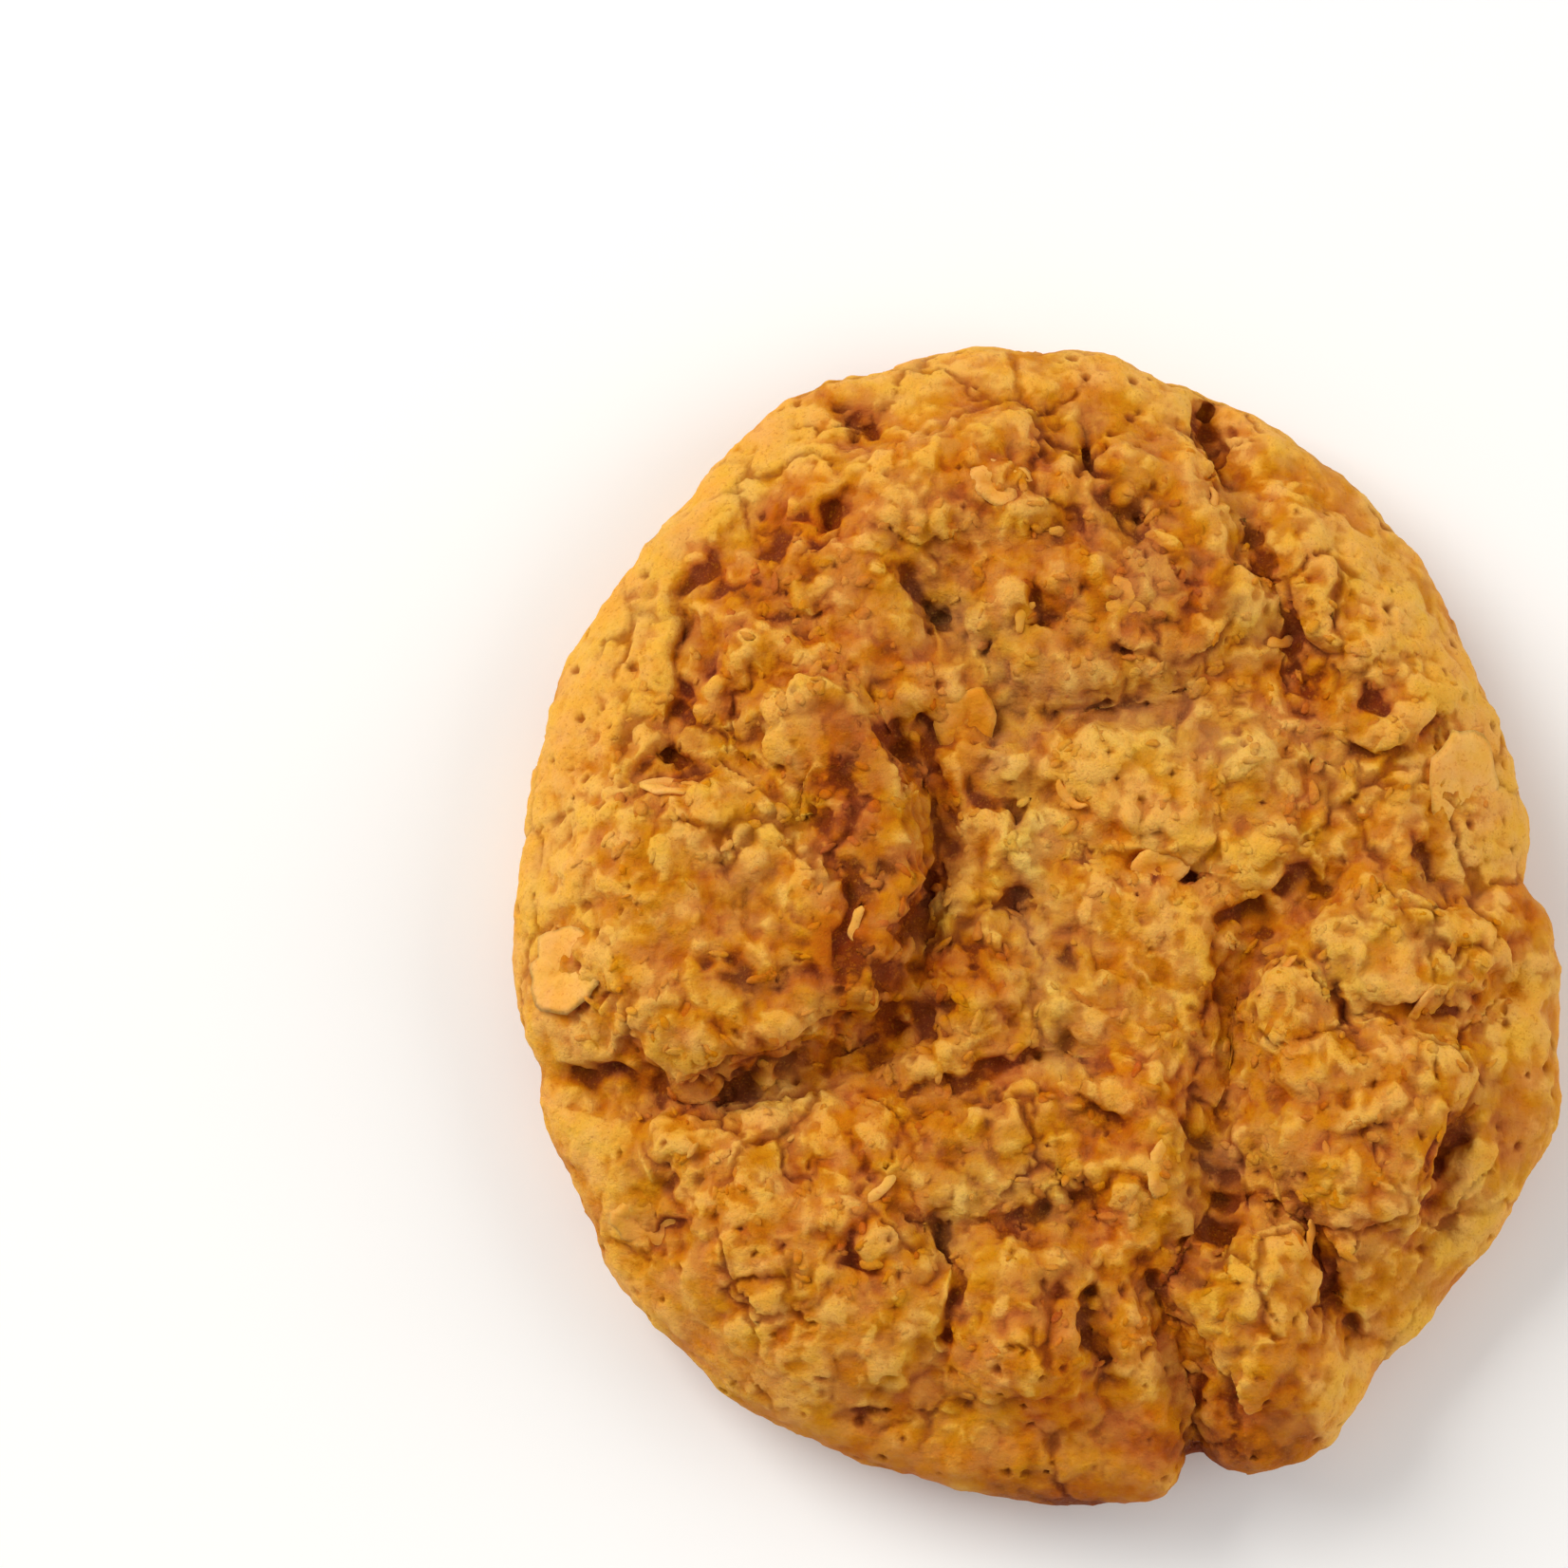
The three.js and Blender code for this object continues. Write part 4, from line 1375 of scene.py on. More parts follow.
    def build_crumb(self) -> bpy.types.NodeTree:
        """Fine crumb: the height of grains too small for the mesh.

        Returns:
            The group.
        """
        number = "NodeSocketFloat"
        bench = self.new_group("fine crumb", {"Size": number}, {"Height": number})
        size = bench.node("NodeGroupInput").outputs["Size"]
        places = bench.node("ShaderNodeTexCoord").outputs["Object"]
        fine = bench.noise(places, bench.number("DIVIDE", 1.0, size), *self.fine_detail)
        grains = bench.node("ShaderNodeTexVoronoi", feature="F1")
        grain_scale = bench.number("DIVIDE", self.grain_scale, size)
        bench.put_all(grains, {"Vector": places, "Scale": grain_scale})
        seams = bench.number("MULTIPLY", grains.outputs["Distance"], self.grain_share)
        height = bench.number("SUBTRACT", fine, seams)
        bench.put_all(bench.node("NodeGroupOutput"), {"Height": height})
        return bench.tree


@dataclass(frozen=True)
class BakedFinish:
    """A matt baked surface: four tones of browning, which also carry painted shade, and a fine crumb.

    Attributes:
        name: The material's name.
        golden: The commonest tone.
        pale: The tone of what is baked least.
        brown: The tone of what is baked more.
        deep: The tone of what is baked most, and the painted shade of pores and cracks.
        crumb_size: The fine crumb's size in metres.
        crumb_depth: Its depth in metres.
        crumb_range: The range of its heights over which the roughness changes.
        roughness: The roughness of its low and of its high places.
        specular: How strongly the surface shines.
        subsurface: How much light goes through the dough.
        light_reach: How far red, green and blue light go, as shares of the greatest reach.
        most_reach: The greatest reach in metres.
        pore_shade_share: How dark the pores and cracks are painted, as shade.
        pored: Whether the mesh has pores.
    """

    name: str
    golden: Rgba
    pale: Rgba
    brown: Rgba
    deep: Rgba
    crumb_size: float = 0.5 * MM
    crumb_depth: float = 0.3 * MM
    crumb_range: Pair = (0.2, 0.6)
    roughness: Pair = (0.6, 0.85)
    specular: float = 0.1
    subsurface: float = 0.12
    light_reach: tuple[float, float, float] = (1.0, 0.45, 0.15)
    most_reach: float = 0.9 * MM
    pore_shade_share: float = 0.55
    pored: bool = False

    def material(self, effects: SharedEffects) -> bpy.types.Material:
        """Builds the material.

        Args:
            effects: The shared node groups.

        Returns:
            The finished material.
        """
        made = bpy.data.materials.new(self.name)
        made.use_nodes = True
        bench = ShaderBench(made.node_tree)
        baking = bench.node("ShaderNodeGroup", node_tree=effects.baking)
        tones = {"Golden": self.golden, "Pale": self.pale, "Brown": self.brown, "Deep": self.deep}
        masks = {"Hollow": Mask.HOLLOW_SHADE, "Toast": Mask.TOAST_AND_PAINTED_LIGHT, "Cream": Mask.CREAM}
        bench.put_all(baking, tones)
        bench.put_all(baking, {name: bench.stored(mask) for name, mask in masks.items()})
        colour = baking.outputs["Colour"]
        if self.pored:
            # Pores and cracks are painted dark, as shade.
            share = bench.number("MULTIPLY", bench.stored(Mask.PORE), self.pore_shade_share)
            colour = bench.blend(share, colour, self.deep)
        crumb = bench.node("ShaderNodeGroup", node_tree=effects.crumb)
        bench.put_all(crumb, {"Size": self.crumb_size})
        height = crumb.outputs["Height"]
        bump = bench.node("ShaderNodeBump")
        bench.put_all(bump, {"Height": height, "Distance": self.crumb_depth})
        bench.surface({
            "Base Color": colour,
            "Roughness": bench.spread(height, *self.crumb_range, *self.roughness),
            "Normal": bump.outputs["Normal"],
            "Specular IOR Level": self.specular,
            "Subsurface Weight": self.subsurface,
            "Subsurface Radius": self.light_reach,
            "Subsurface Scale": self.most_reach,
        })
        return made


OAT_FINISH = BakedFinish(
    name="bare oat",
    golden=from_screen(222, 146, 44),
    pale=from_screen(238, 174, 80),
    brown=from_screen(204, 114, 26),
    deep=from_screen(146, 72, 12),
    crumb_size=0.7 * MM,
    crumb_depth=0.2 * MM,
    roughness=(0.5, 0.75),
)
COCONUT_FINISH = BakedFinish(
    name="toasted coconut",
    golden=from_screen(222, 146, 48),
    pale=from_screen(236, 176, 82),
    brown=from_screen(204, 110, 26),
    deep=from_screen(150, 76, 14),
    crumb_size=0.6 * MM,
    crumb_depth=0.12 * MM,
    roughness=(0.5, 0.7),
)
CRUMB_FINISH = BakedFinish(
    name="loose crumb",
    golden=from_screen(216, 134, 30),
    pale=from_screen(232, 164, 62),
    brown=from_screen(196, 100, 16),
    deep=from_screen(142, 68, 10),
)
CRUST_FINISH = BakedFinish(
    name="golden crust",
    golden=from_screen(210, 131, 32),
    pale=from_screen(238, 173, 69),
    brown=from_screen(188, 100, 17),
    deep=from_screen(128, 54, 6),
    pored=True,
)


class Finder:
    """Finds the crust's surface under a place.

    It looks straight down from START_HEIGHT, in metres. A piece is borne at its middle and at places round it
    at the BEARINGS, in radians.
    """

    START_HEIGHT: ClassVar[float] = 0.05
    BEARINGS: ClassVar[tuple[float, ...]] = (0, 1.26, 2.51, 3.77, 5.03)

    def __init__(self, crust: bpy.types.Object) -> None:
        """Reads the crust's final faces.

        Args:
            crust: The crust.
        """
        mesh = crust.data
        points = [vertex.co.copy() for vertex in mesh.vertices]
        self.tree = BVHTree.FromPolygons(points, [polygon.vertices[:] for polygon in mesh.polygons])

    def under(self, x: float, y: float) -> Vector | None:
        """The surface straight below a place, or None beside the biscuit."""
        return self.tree.ray_cast(Vector((x, y, self.START_HEIGHT)), Vector((0, 0, -1)))[0]

    def lie(self, x: float, y: float, reach: float) -> tuple[Vector, Vector] | None:
        """Where and how a small piece comes to lie.

        Args:
            x: The piece's middle across, in metres.
            y: Its middle up the face.
            reach: How far out it is borne.

        Returns:
            The mean ground point and the ground's mean normal, or None where the piece would fall off.
        """
        ring = [(x + reach * math.cos(a), y + reach * math.sin(a)) for a in self.BEARINGS]
        feet = [self.under(*place) for place in [(x, y), *ring]]
        if None in feet:
            return None
        normal = Vector((0, 0, 0))
        for i in range(1, len(feet)):
            normal += (feet[i] - feet[0]).cross(feet[i % len(ring) + 1] - feet[0])
        return sum(feet, Vector((0, 0, 0))) / len(feet), normal.normalized()


class Heap:
    """Many small closed shapes gathered into one mesh."""

    def __init__(self) -> None:
        """Starts empty."""
        self.points: list[np.ndarray] = []
        self.faces: list[np.ndarray] = []
        self.masks: dict[Mask, list[np.ndarray]] = {Mask.HOLLOW_SHADE: [], Mask.TOAST_AND_PAINTED_LIGHT: [], Mask.CREAM: []}
        self.count = 0

    def add(
        self, points: np.ndarray, faces: np.ndarray, hollow_shade: np.ndarray, toast: float, cream: float = 0.0
    ) -> None:
        """Adds one shape.

        Args:
            points: Its points in the part's frame.
            faces: Its triangles, numbered within the shape.
            hollow_shade: How hollow each point is, which the finish darkens as painted shade.
            toast: How brown the shape is.
            cream: How creamy the shape is.
        """
        self.points.append(points)
        self.faces.append(faces + self.count)
        self.masks[Mask.HOLLOW_SHADE].append(hollow_shade)
        self.masks[Mask.TOAST_AND_PAINTED_LIGHT].append(np.full(len(points), toast))
        self.masks[Mask.CREAM].append(np.full(len(points), cream))
        self.count += len(points)

    def piece(self, name: str, finish: bpy.types.Material) -> bpy.types.Object:
        """Puts all the shapes into the scene as one piece.

        Args:
            name: The piece's name.
            finish: Its material.

        Returns:
            The new object.
        """
        mesh = bpy.data.meshes.new(name)
        mesh.from_pydata(np.concatenate(self.points).tolist(), [], np.concatenate(self.faces).tolist())
        mesh.validate()
        holder = PointMesh(mesh)
        for mask, values in self.masks.items():
            holder.store_mask(mask, np.concatenate(values))
        mesh.materials.append(finish)
        return piece_from(name, mesh)


@dataclass(frozen=True)
class Flake:
    """One oat flake's place and form, in millimetres and degrees.

    Attributes:
        x: Its middle across.
        y: Its middle up the face.
        half_length: Half its length.
        half_width: Half its width.
        turn: Which way it points.
        cup: How far its rim rises, as a share of the half-width.
        toast: How brown it is.
    """

    x: float
    y: float
    half_length: float
    half_width: float
    turn: float
    cup: float
    toast: float


@dataclass
class OatFlakes:
    """Rolled oats that lie bare on the crust: thin, creased, ragged ovals. Lengths are in millimetres.

    Attributes:
        finder: Finds the crust.
        count: How many flakes are spread over the face.
        reach: How far out they lie.
        stretch: How many times as far out as in an even spread, at least and at most.
        aside: How far they are turned from an even spread, at least and at most, in radians.
        half_length: Their least and greatest half-lengths.
        half_width: Their least and greatest half-widths, as shares of the half-length.
        cup: Their least and greatest cups.
        toast: How brown they are at least and at most.
        thickness: How thick a flake is.
        rings: How many rings of points it has.
        spokes: How many points each ring has.
        lobes: How many waves run round its outline, and how high they are.
        raggedness: How ragged its outline is.
        bumps: Size and depth of its bumps.
        crease: Width and depth of the crease along it.
        tilt: How far it may lean, in degrees.
        foot_share: How far out it is borne, as a share of the half-width.
        sunk: How deep it is sunk in the crust.
        seen: The flakes that are listed one by one.
        random: What the spread is drawn from.
        noise: What the bumps are drawn from.
    """

    finder: Finder
    count: int = 8
    reach: float = 36.0
    stretch: Pair = (0.9, 1.04)
    aside: Pair = (-0.5, 0.5)
    half_length: Pair = (1.8, 2.8)
    half_width: Pair = (0.58, 0.85)
    cup: Pair = (-0.1, 0.4)
    toast: Pair = (0.2, 0.6)
    thickness: float = 0.6
    rings: int = 6
    spokes: int = 30
    lobes: tuple[Pair, ...] = ((2, 0.05), (3, 0.05), (7, 0.035))
    raggedness: float = 0.03
    bumps: Pair = (1.8, 0.18)
    crease: Pair = (0.35, 0.16)
    tilt: float = 14.0
    foot_share: float = 0.7
    sunk: float = 0.25
    seen: tuple[Flake, ...] = (
        Flake(x=30.5, y=8.5, half_length=4.6, half_width=3.1, turn=-68, cup=0.1, toast=-0.1),
        Flake(x=-33.7, y=-4.5, half_length=3.7, half_width=3.0, turn=10, cup=0.15, toast=0.05),
    )
    random: np.random.Generator = field(default_factory=lambda: np.random.default_rng(5))
    noise: NoiseField = field(default_factory=lambda: NoiseField(31))

    def shape(self, flake: Flake) -> tuple[np.ndarray, np.ndarray, np.ndarray]:
        """One flake round the origin.

        Args:
            flake: Its sizes.

        Returns:
            The points, the triangles and how hollow each point is, for painted shade.
        """
        phases = self.random.uniform(0, 2 * math.pi, len(self.lobes))
        angle = np.arange(self.spokes) * 2 * math.pi / self.spokes
        edge = np.ones(self.spokes)
        for (waves, depth), phase in zip(self.lobes, phases):
            edge += depth * np.sin(waves * angle + phase)
        edge += self.raggedness * self.random.normal(size=self.spokes)
        shares = np.linspace(0, 1, self.rings + 1)[1:]
        rim = np.stack([np.cos(angle) * edge, np.sin(angle) * edge], axis=-1)
        flat = np.concatenate([[[0, 0]], *(share * rim for share in shares)])
        radius = np.concatenate([[0], np.repeat(shares, self.spokes)])
        across = flat * (flake.half_length, flake.half_width)
        places = np.column_stack([across, np.full(len(across), self.random.uniform(0, 99))])
        bump_size, bump_depth = self.bumps
        bumps = self.noise.layers(places, bump_size, 3)
        middle = flake.cup * flake.half_width * (flat**2).sum(axis=1) + bump_depth * bumps
        crease_width, crease_depth = self.crease
        crease = np.exp(-((across[:, 1] / crease_width) ** 2)) * (1 - radius**2)
        bulge = 0.5 * self.thickness * np.sqrt(np.clip(1 - radius**4, 0, 1))
        top = np.column_stack([across, middle + bulge - crease_depth * crease])
        bottom = np.column_stack([across, middle - bulge])[: -self.spokes]
        # Painted shade: darker along the crease and where the bumps dip, lighter towards the edge.
        hollow_shade = 0.42 + 0.2 * crease - 0.2 * radius**6 - 0.12 * bumps
        hollow_shade = np.concatenate([hollow_shade, hollow_shade[: -self.spokes]])
        return np.concatenate([top, bottom]), self.triangles(), hollow_shade

    def triangles(self) -> np.ndarray:
        """The triangles of a flake's two sides, which share the outer ring.

        Returns:
            Rows of three points' numbers.
        """
        spokes, rings = self.spokes, self.rings
        upper = 1 + rings * spokes

        def ring_point(ring: int, spoke: int, below: bool) -> int:
            """The number of a point on either side, where ring 0 is the middle."""
            start = upper if below and ring < rings else 0
            return start + (0 if ring == 0 else 1 + (ring - 1) * spokes + spoke % spokes)

        faces = []
        for below in (False, True):
            for spoke in range(spokes):
                for ring in range(rings):
                    a = ring_point(ring, spoke, below)
                    b = ring_point(ring + 1, spoke, below)
                    c = ring_point(ring + 1, spoke + 1, below)
                    d = ring_point(ring, spoke + 1, below)
                    made = [(a, b, c)] if ring == 0 else [(a, b, c), (a, c, d)]
                    faces += [face[::-1] for face in made] if below else made
        return np.array(faces)

    def spread_flakes(self) -> list[Flake]:
        """Chooses the flakes' places and sizes.

        Returns:
            The flakes that are listed one by one, and then those that are spread over the face.
        """
        flakes = list(self.seen)
        for i in range(self.count):
            stretch = self.random.uniform(*self.stretch)
            x, y = golden_place(i, self.count, self.reach, stretch, self.random.uniform(*self.aside))
            long = self.random.uniform(*self.half_length)
            wide = long * self.random.uniform(*self.half_width)
            turn = self.random.uniform(0, 360)
            cup = self.random.uniform(*self.cup)
            toast = self.random.uniform(*self.toast)
            flakes.append(Flake(x, y, long, wide, turn, cup, toast))
        return flakes

    def build(self, finish: bpy.types.Material) -> bpy.types.Object:
        """Lays all the flakes on the crust.

        Args:
            finish: The flakes' material.

        Returns:
            The flakes as one piece.
        """
        heap = Heap()
        for flake in self.spread_flakes():
            points, faces, hollow_shade = self.shape(flake)
            lie = self.finder.lie(flake.x * MM, flake.y * MM, self.foot_share * flake.half_width * MM)
            lean = [math.radians(self.random.uniform(-self.tilt, self.tilt)) for _ in range(2)]
            if lie is None:
                continue
            ground, normal = lie
            turn = Matrix.Rotation(math.radians(flake.turn), 3, "Z")
            rock = Matrix.Rotation(lean[0], 3, "X") @ Matrix.Rotation(lean[1], 3, "Y")
            place = np.array(stood_on(normal) @ turn @ rock)
            sunk = ground - normal * self.sunk * MM
            heap.add(points @ place.T * MM + np.array(sunk), faces, hollow_shade, flake.toast)
        return heap.piece("oat_flakes", finish)


@dataclass
class CoconutShreds:
    """Short curved strips of coconut, half sunk in the crust. Lengths are in millimetres.

    Attributes:
        finder: Finds the crust.
        count: How many places are tried.
        reach: How far out they lie.
        start: The bearing that their spread starts from, in radians.
        aside: How far they are turned from an even spread, at least and at most, in radians.
        bare_left: How far to the left they may lie.
        length: Their least and greatest lengths.
        width: How wide a shred is.
        thickness: How thick it is.
        most_bend: How far its ends may be bent aside.
        ripple: How far it waves to and fro.
        steps: How many rings of points it has.
        sides: How many points each ring has.
        foot_reach: How far out it is borne.
        most_rock: How far it may lean along itself, in radians.
        toast: How brown it is at least and at most.
        hollow_shade: How much painted shade it has throughout.
        random: What the shreds are drawn from.
    """

    finder: Finder
    count: int = 9
    reach: float = 33.0
    start: float = 1.1
    aside: Pair = (-0.4, 0.4)
    bare_left: float = -24.0
    length: Pair = (2.2, 4.5)
    width: float = 0.8
    thickness: float = 0.4
    most_bend: float = 0.9
    ripple: float = 0.12
    steps: int = 14
    sides: int = 8
    foot_reach: float = 1.2
    most_rock: float = 0.15
    toast: Pair = (0.1, 0.7)
    hollow_shade: float = 0.4
    random: np.random.Generator = field(default_factory=lambda: np.random.default_rng(8))

    def shape(self) -> tuple[np.ndarray, np.ndarray]:
        """One shred along the X axis.

        Returns:
            The points and the triangles.
        """
        length = self.random.uniform(*self.length)
        bend = self.random.uniform(-1, 1) * self.most_bend
        wave = self.random.uniform(0, 2 * math.pi)
        share = np.linspace(-1, 1, self.steps)
        taper = np.sqrt(np.clip(1 - share**6, 0.02, 1)) * (1 + 0.15 * np.sin(5 * share + wave))
        angle = np.arange(self.sides) * 2 * math.pi / self.sides
        points = []
        for s, t in zip(share, taper):
            y = bend * s * s + self.ripple * math.sin(4 * s + wave) + 0.5 * self.width * t * np.cos(angle)
            z = self.ripple * math.sin(3 * s + 2 * wave) + 0.5 * self.thickness * t * np.sin(angle)
            points.append(np.column_stack([np.full(self.sides, s * length / 2), y, z]))
        faces = []
        for step in range(self.steps - 1):
            for side in range(self.sides):
                a = step * self.sides + side
                b = step * self.sides + (side + 1) % self.sides
                faces += [(a, b, b + self.sides), (a, b + self.sides, a + self.sides)]
        last = (self.steps - 1) * self.sides
        for side in range(1, self.sides - 1):
            faces += [(0, side + 1, side), (last, last + side, last + side + 1)]
        return np.concatenate(points), np.array(faces)

    def build(self, finish: bpy.types.Material) -> bpy.types.Object:
        """Lays all the shreds on the crust.

        Args:
            finish: The shreds' material.

        Returns:
            The shreds as one piece.
        """
        heap = Heap()
        for i in range(self.count):
            points, faces = self.shape()
            bearing = self.start + self.random.uniform(*self.aside)
            x, y = golden_place(i, self.count, self.reach, 1.0, bearing)
            turn = Matrix.Rotation(self.random.uniform(0, 2 * math.pi), 3, "Z")
            rock = Matrix.Rotation(self.random.uniform(-self.most_rock, self.most_rock), 3, "Y")
            toast = self.random.uniform(*self.toast)
            lie = self.finder.lie(x * MM, y * MM, self.foot_reach * MM)
            if lie is None or x < self.bare_left:
                continue
            ground, normal = lie
            place = np.array(stood_on(normal) @ turn @ rock)
            hollow_shade = np.full(len(points), self.hollow_shade)
            heap.add(points @ place.T * MM + np.array(ground), faces, hollow_shade, toast)
        return heap.piece("coconut_shreds", finish)


@dataclass
class Crumbs:
    """Loose grains of oat and sugar baked onto the crust. Lengths are in millimetres.

    Attributes:
        crust: The crust.
        count: How many grains there are.
        reach_range: Between which distances from the middle they grow common.
        slope_range: Between which upward normals they do.
        hollow_range: Between which depths of hollows they do.
        radius: Their least and greatest radii.
        shrink: The least and greatest shares that the radii are then brought down to.
        least_stretch: How long, wide and high they are at least, in radii.
        most_stretch: How long, wide and high they are at most.
        dents: How dense and how deep their dents are.
        lean: How far they lean from the crust's normal.
        sunk: How deep they are sunk, as a share of the radius.
        tone: How much browner than the crust they are at least and at most.
        random: What the grains are drawn from.
    """

    crust: bpy.types.Object
    count: int = 1100
    reach_range: Pair = (36, 28)
    slope_range: Pair = (0.1, 0.6)
    hollow_range: Pair = (0.75, 0.45)
    radius: Pair = (0.25, 0.6)
    shrink: Pair = (0.6, 1)
    least_stretch: tuple[float, float, float] = (1.0, 0.6, 0.4)
    most_stretch: tuple[float, float, float] = (2.0, 1.0, 0.7)
    dents: Pair = (2.6, 0.4)
    lean: float = 0.2
    sunk: float = 0.3
    tone: Pair = (-0.25, 0.15)
    random: np.random.Generator = field(default_factory=lambda: np.random.default_rng(14))

    @staticmethod
    def pebble() -> tuple[np.ndarray, np.ndarray]:
        """A round grain of radius 1.

        Returns:
            The points and the triangles.
        """
        maker = bmesh.new()
        bmesh.ops.create_icosphere(maker, subdivisions=2, radius=1)
        points = np.array([vertex.co[:] for vertex in maker.verts])
        faces = np.array([[vertex.index for vertex in face.verts] for face in maker.faces])
        maker.free()
        return points, faces

    def grain(self, ball: np.ndarray, normal: np.ndarray) -> tuple[np.ndarray, float]:
        """One stretched and dented grain that lies on the crust.

        Args:
            ball: The points of a round grain.
            normal: The crust's normal under the grain.

        Returns:
            The points round the grain's middle in metres, and its radius in millimetres.
        """
        radius = self.random.uniform(*self.radius) * self.random.uniform(*self.shrink)
        stretch = self.random.uniform(self.least_stretch, self.most_stretch)
        density, depth = self.dents
        waves = ball @ self.random.normal(0, density, (3, 3)) + self.random.uniform(0, 6, 3)
        dents = 1 + depth * np.sin(waves)
        lie = stood_on(Vector(normal + self.random.normal(0, self.lean, 3)))
        turn = Matrix.Rotation(self.random.uniform(0, 2 * math.pi), 3, "Z")
        place = np.array(lie @ turn)
        return (ball * stretch * dents.mean(axis=1)[:, None]) @ place.T * radius * MM, radius

    def build(self, finish: bpy.types.Material) -> bpy.types.Object:
        """Sets the grains on the crust's upper side.

        Args:
            finish: The grains' material.

        Returns:
            The grains as one piece.
        """
        skin = PointMesh(self.crust.data)
        normals = skin.normals()
        hollow_shade = skin.mask(Mask.HOLLOW_SHADE)
        toast = skin.mask(Mask.TOAST_AND_PAINTED_LIGHT)
        cream = skin.mask(Mask.CREAM)
        reach = np.hypot(skin.points[:, 0], skin.points[:, 1]) / MM
        weight = smooth_step(normals[:, 2], *self.slope_range) * smooth_step(hollow_shade, *self.hollow_range)
        weight *= smooth_step(reach, *self.reach_range)
        chosen = self.random.choice(len(weight), self.count, replace=False, p=weight / weight.sum())
        ball, faces = self.pebble()
        heap = Heap()
        for index in chosen:
            points, radius = self.grain(ball, normals[index])
            sunk = skin.points[index] - normals[index] * self.sunk * radius * MM
            tone = toast[index] + self.random.uniform(*self.tone)
            # Grains in hollows are painted darker, as shade.
            shade = np.full(len(points), 0.3 + 0.45 * hollow_shade[index])
            heap.add(points + sunk, faces, shade, tone, cream[index])
        return heap.piece("crumbs", finish)


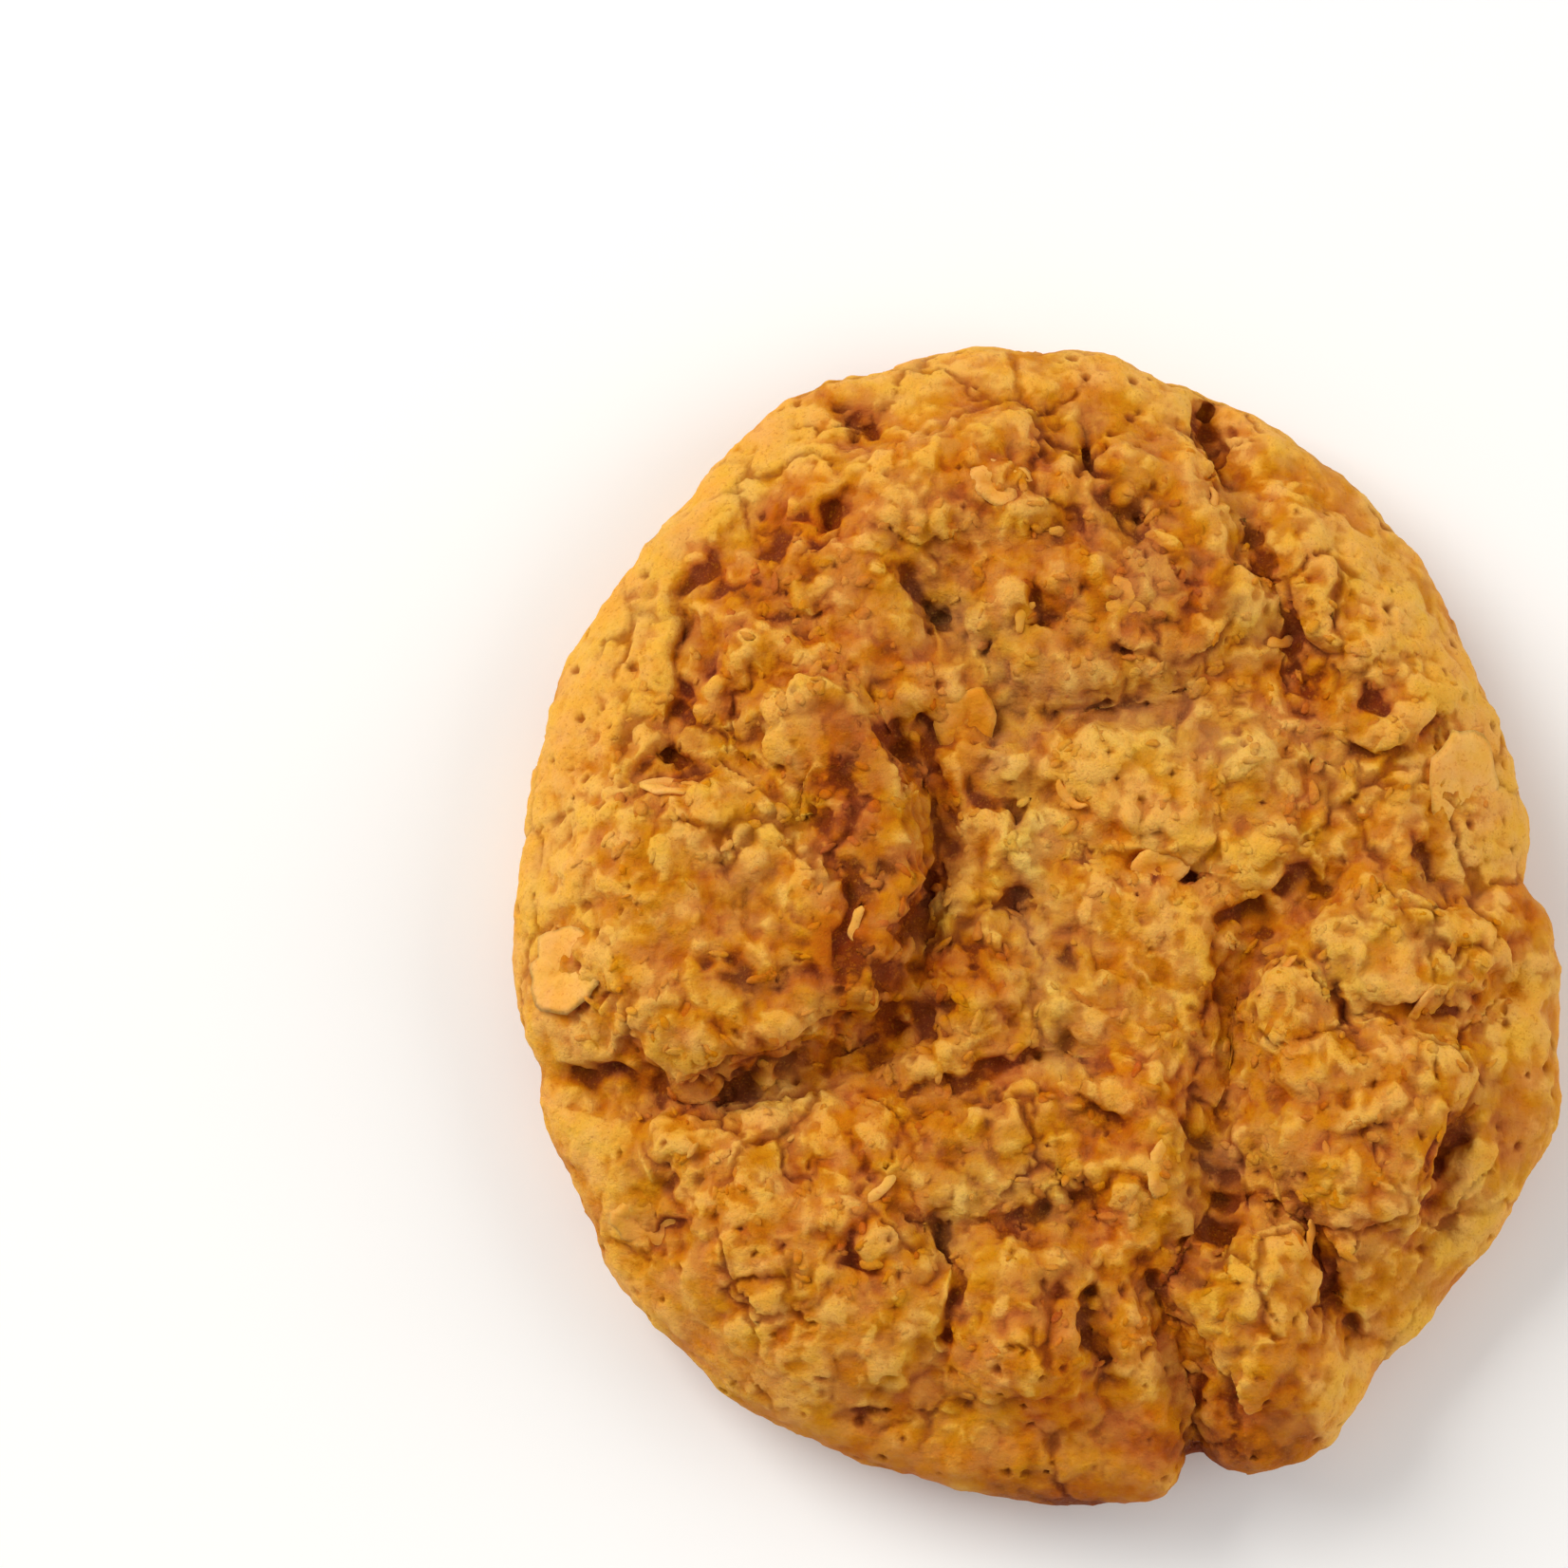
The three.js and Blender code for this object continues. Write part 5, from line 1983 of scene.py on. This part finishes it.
@dataclass
class Studio:
    """The pale floor, the soft light from the upper left and the camera above the face.

    Attributes:
        pixels: The photograph's width and height.
        middle_px: Where the part's middle lies in it, from its upper left corner.
        millimetres_per_px: Its scale.
        widest_height: How high up the biscuit is widest, in millimetres.
        elevation: How high the camera stands, in degrees.
        lens: Its focal length in millimetres.
        sensor: Its sensor's width in millimetres.
        clip: How near and how far it sees, in metres.
        key_from: Which way the key light lies from the biscuit.
        key_power: Its power in watts.
        key_size: Its side in metres.
        fill_from: Which way the fill light lies from the biscuit.
        fill_power: Its power in watts.
        fill_size: Its side in metres.
        light_distance: How far away the lights are, in metres.
        light_colour: The lights' colour.
        world_strength: How bright the sky is.
        floor_half: Half the floor's side in metres.
        floor_gap: How far it lies under the base, in metres.
        floor_tones: The two tones that it drifts between.
        floor_drift: Scale and detail of the drift.
        floor_roughness: How matt it is.
    """

    pixels: int = 1652
    middle_px: Pair = (1090.0, 965.0)
    millimetres_per_px: float = 80 / 1158.8
    widest_height: float = 6.0
    elevation: float = 82.0
    lens: float = 100.0
    sensor: float = 36.0
    clip: Pair = (0.01, 10)
    key_from: Vector = field(default_factory=lambda: Vector((-0.62, 0.42, 0.6)))
    key_power: float = 6.4
    key_size: float = 0.55
    fill_from: Vector = field(default_factory=lambda: Vector((0.8, 0.0, 0.5)))
    fill_power: float = 3.3
    fill_size: float = 0.7
    light_distance: float = 0.9
    light_colour: tuple[float, float, float] = (1.0, 0.97, 0.92)
    world_strength: float = 0.47
    floor_half: float = 1.5
    floor_gap: float = 0.02 * MM
    floor_tones: tuple[Rgba, Rgba] = (from_screen(246, 246, 245), from_screen(250, 250, 250))
    floor_drift: Pair = (6.0, 2.0)
    floor_roughness: float = 0.9

    def build(self) -> None:
        """Makes the camera, the lights and the floor."""
        self.place_camera()
        self.place_lights()
        self.place_floor()

    def place_camera(self) -> None:
        """Looks down on the face so that the biscuit fills the picture as in the photograph."""
        data = bpy.data.cameras.new("camera")
        data.lens = self.lens
        data.sensor_width = self.sensor
        camera = bpy.data.objects.new("camera", data)
        tilt = math.radians(self.elevation)
        away = Vector((0, -math.cos(tilt), math.sin(tilt)))
        right = Vector((1, 0, 0))
        up = away.cross(right)
        width = self.pixels * self.millimetres_per_px * MM
        across = (self.pixels / 2 - self.middle_px[0]) * self.millimetres_per_px * MM
        upward = (self.middle_px[1] - self.pixels / 2) * self.millimetres_per_px * MM
        target = Vector((0, 0, self.widest_height * MM)) + across * right + upward * up
        camera.location = target + away * (width * self.lens / self.sensor)
        camera.rotation_euler = (-away).to_track_quat("-Z", "Y").to_euler()
        data.clip_start, data.clip_end = self.clip
        bpy.context.scene.collection.objects.link(camera)
        bpy.context.scene.camera = camera

    def place_light(self, name: str, towards: Vector, power: float, size: float) -> None:
        """One soft square light that faces the biscuit.

        Args:
            name: The light's name.
            towards: Where it is, seen from the biscuit.
            power: Its power in watts.
            size: Its side in metres.
        """
        data = bpy.data.lights.new(name, "AREA")
        data.size = size
        data.energy = power
        data.color = self.light_colour
        light = bpy.data.objects.new(name, data)
        direction = towards.normalized()
        light.location = direction * self.light_distance
        light.rotation_euler = (-direction).to_track_quat("-Z", "Y").to_euler()
        bpy.context.scene.collection.objects.link(light)

    def place_lights(self) -> None:
        """A soft key light, a weaker fill light and an even white sky."""
        self.place_light("key", self.key_from, self.key_power, self.key_size)
        self.place_light("fill", self.fill_from, self.fill_power, self.fill_size)
        world = bpy.data.worlds.new("studio")
        world.use_nodes = True
        sky = world.node_tree.nodes["Background"]
        sky.inputs["Color"].default_value = (1, 1, 1, 1)
        sky.inputs["Strength"].default_value = self.world_strength
        bpy.context.scene.world = world
        bpy.context.scene.view_settings.view_transform = "Standard"

    def place_floor(self) -> None:
        """A wide pale floor just under the base."""
        half, low = self.floor_half, -self.floor_gap
        mesh = bpy.data.meshes.new("floor")
        corners = [(-half, -half, low), (half, -half, low), (half, half, low), (-half, half, low)]
        mesh.from_pydata(corners, [], [(0, 1, 2, 3)])
        floor = bpy.data.objects.new("floor", mesh)
        bpy.context.scene.collection.objects.link(floor)
        made = bpy.data.materials.new("pale floor")
        made.use_nodes = True
        bench = ShaderBench(made.node_tree)
        places = bench.node("ShaderNodeTexCoord").outputs["Object"]
        shade = bench.blend(bench.noise(places, *self.floor_drift), *self.floor_tones)
        bench.surface({"Base Color": shade, "Roughness": self.floor_roughness})
        mesh.materials.append(made)


def main() -> None:
    """Builds the biscuit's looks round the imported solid, piece by piece."""
    logging.basicConfig(level=logging.INFO, format="%(name)s: %(message)s")
    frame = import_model()
    effects = SharedEffects()

    crust = Crust(frame["nodes"][SOLID_NODE]).build()
    crust.data.materials.clear()
    crust.data.materials.append(CRUST_FINISH.material(effects))
    finder = Finder(crust)
    pieces = [
        crust,
        OatFlakes(finder).build(OAT_FINISH.material(effects)),
        CoconutShreds(finder).build(COCONUT_FINISH.material(effects)),
        Crumbs(crust).build(CRUMB_FINISH.material(effects)),
    ]
    for piece in pieces:
        LOG.info("%s: %d faces", piece.name, len(piece.data.polygons))

    Studio().build()


if __name__ == "__main__":
    main()
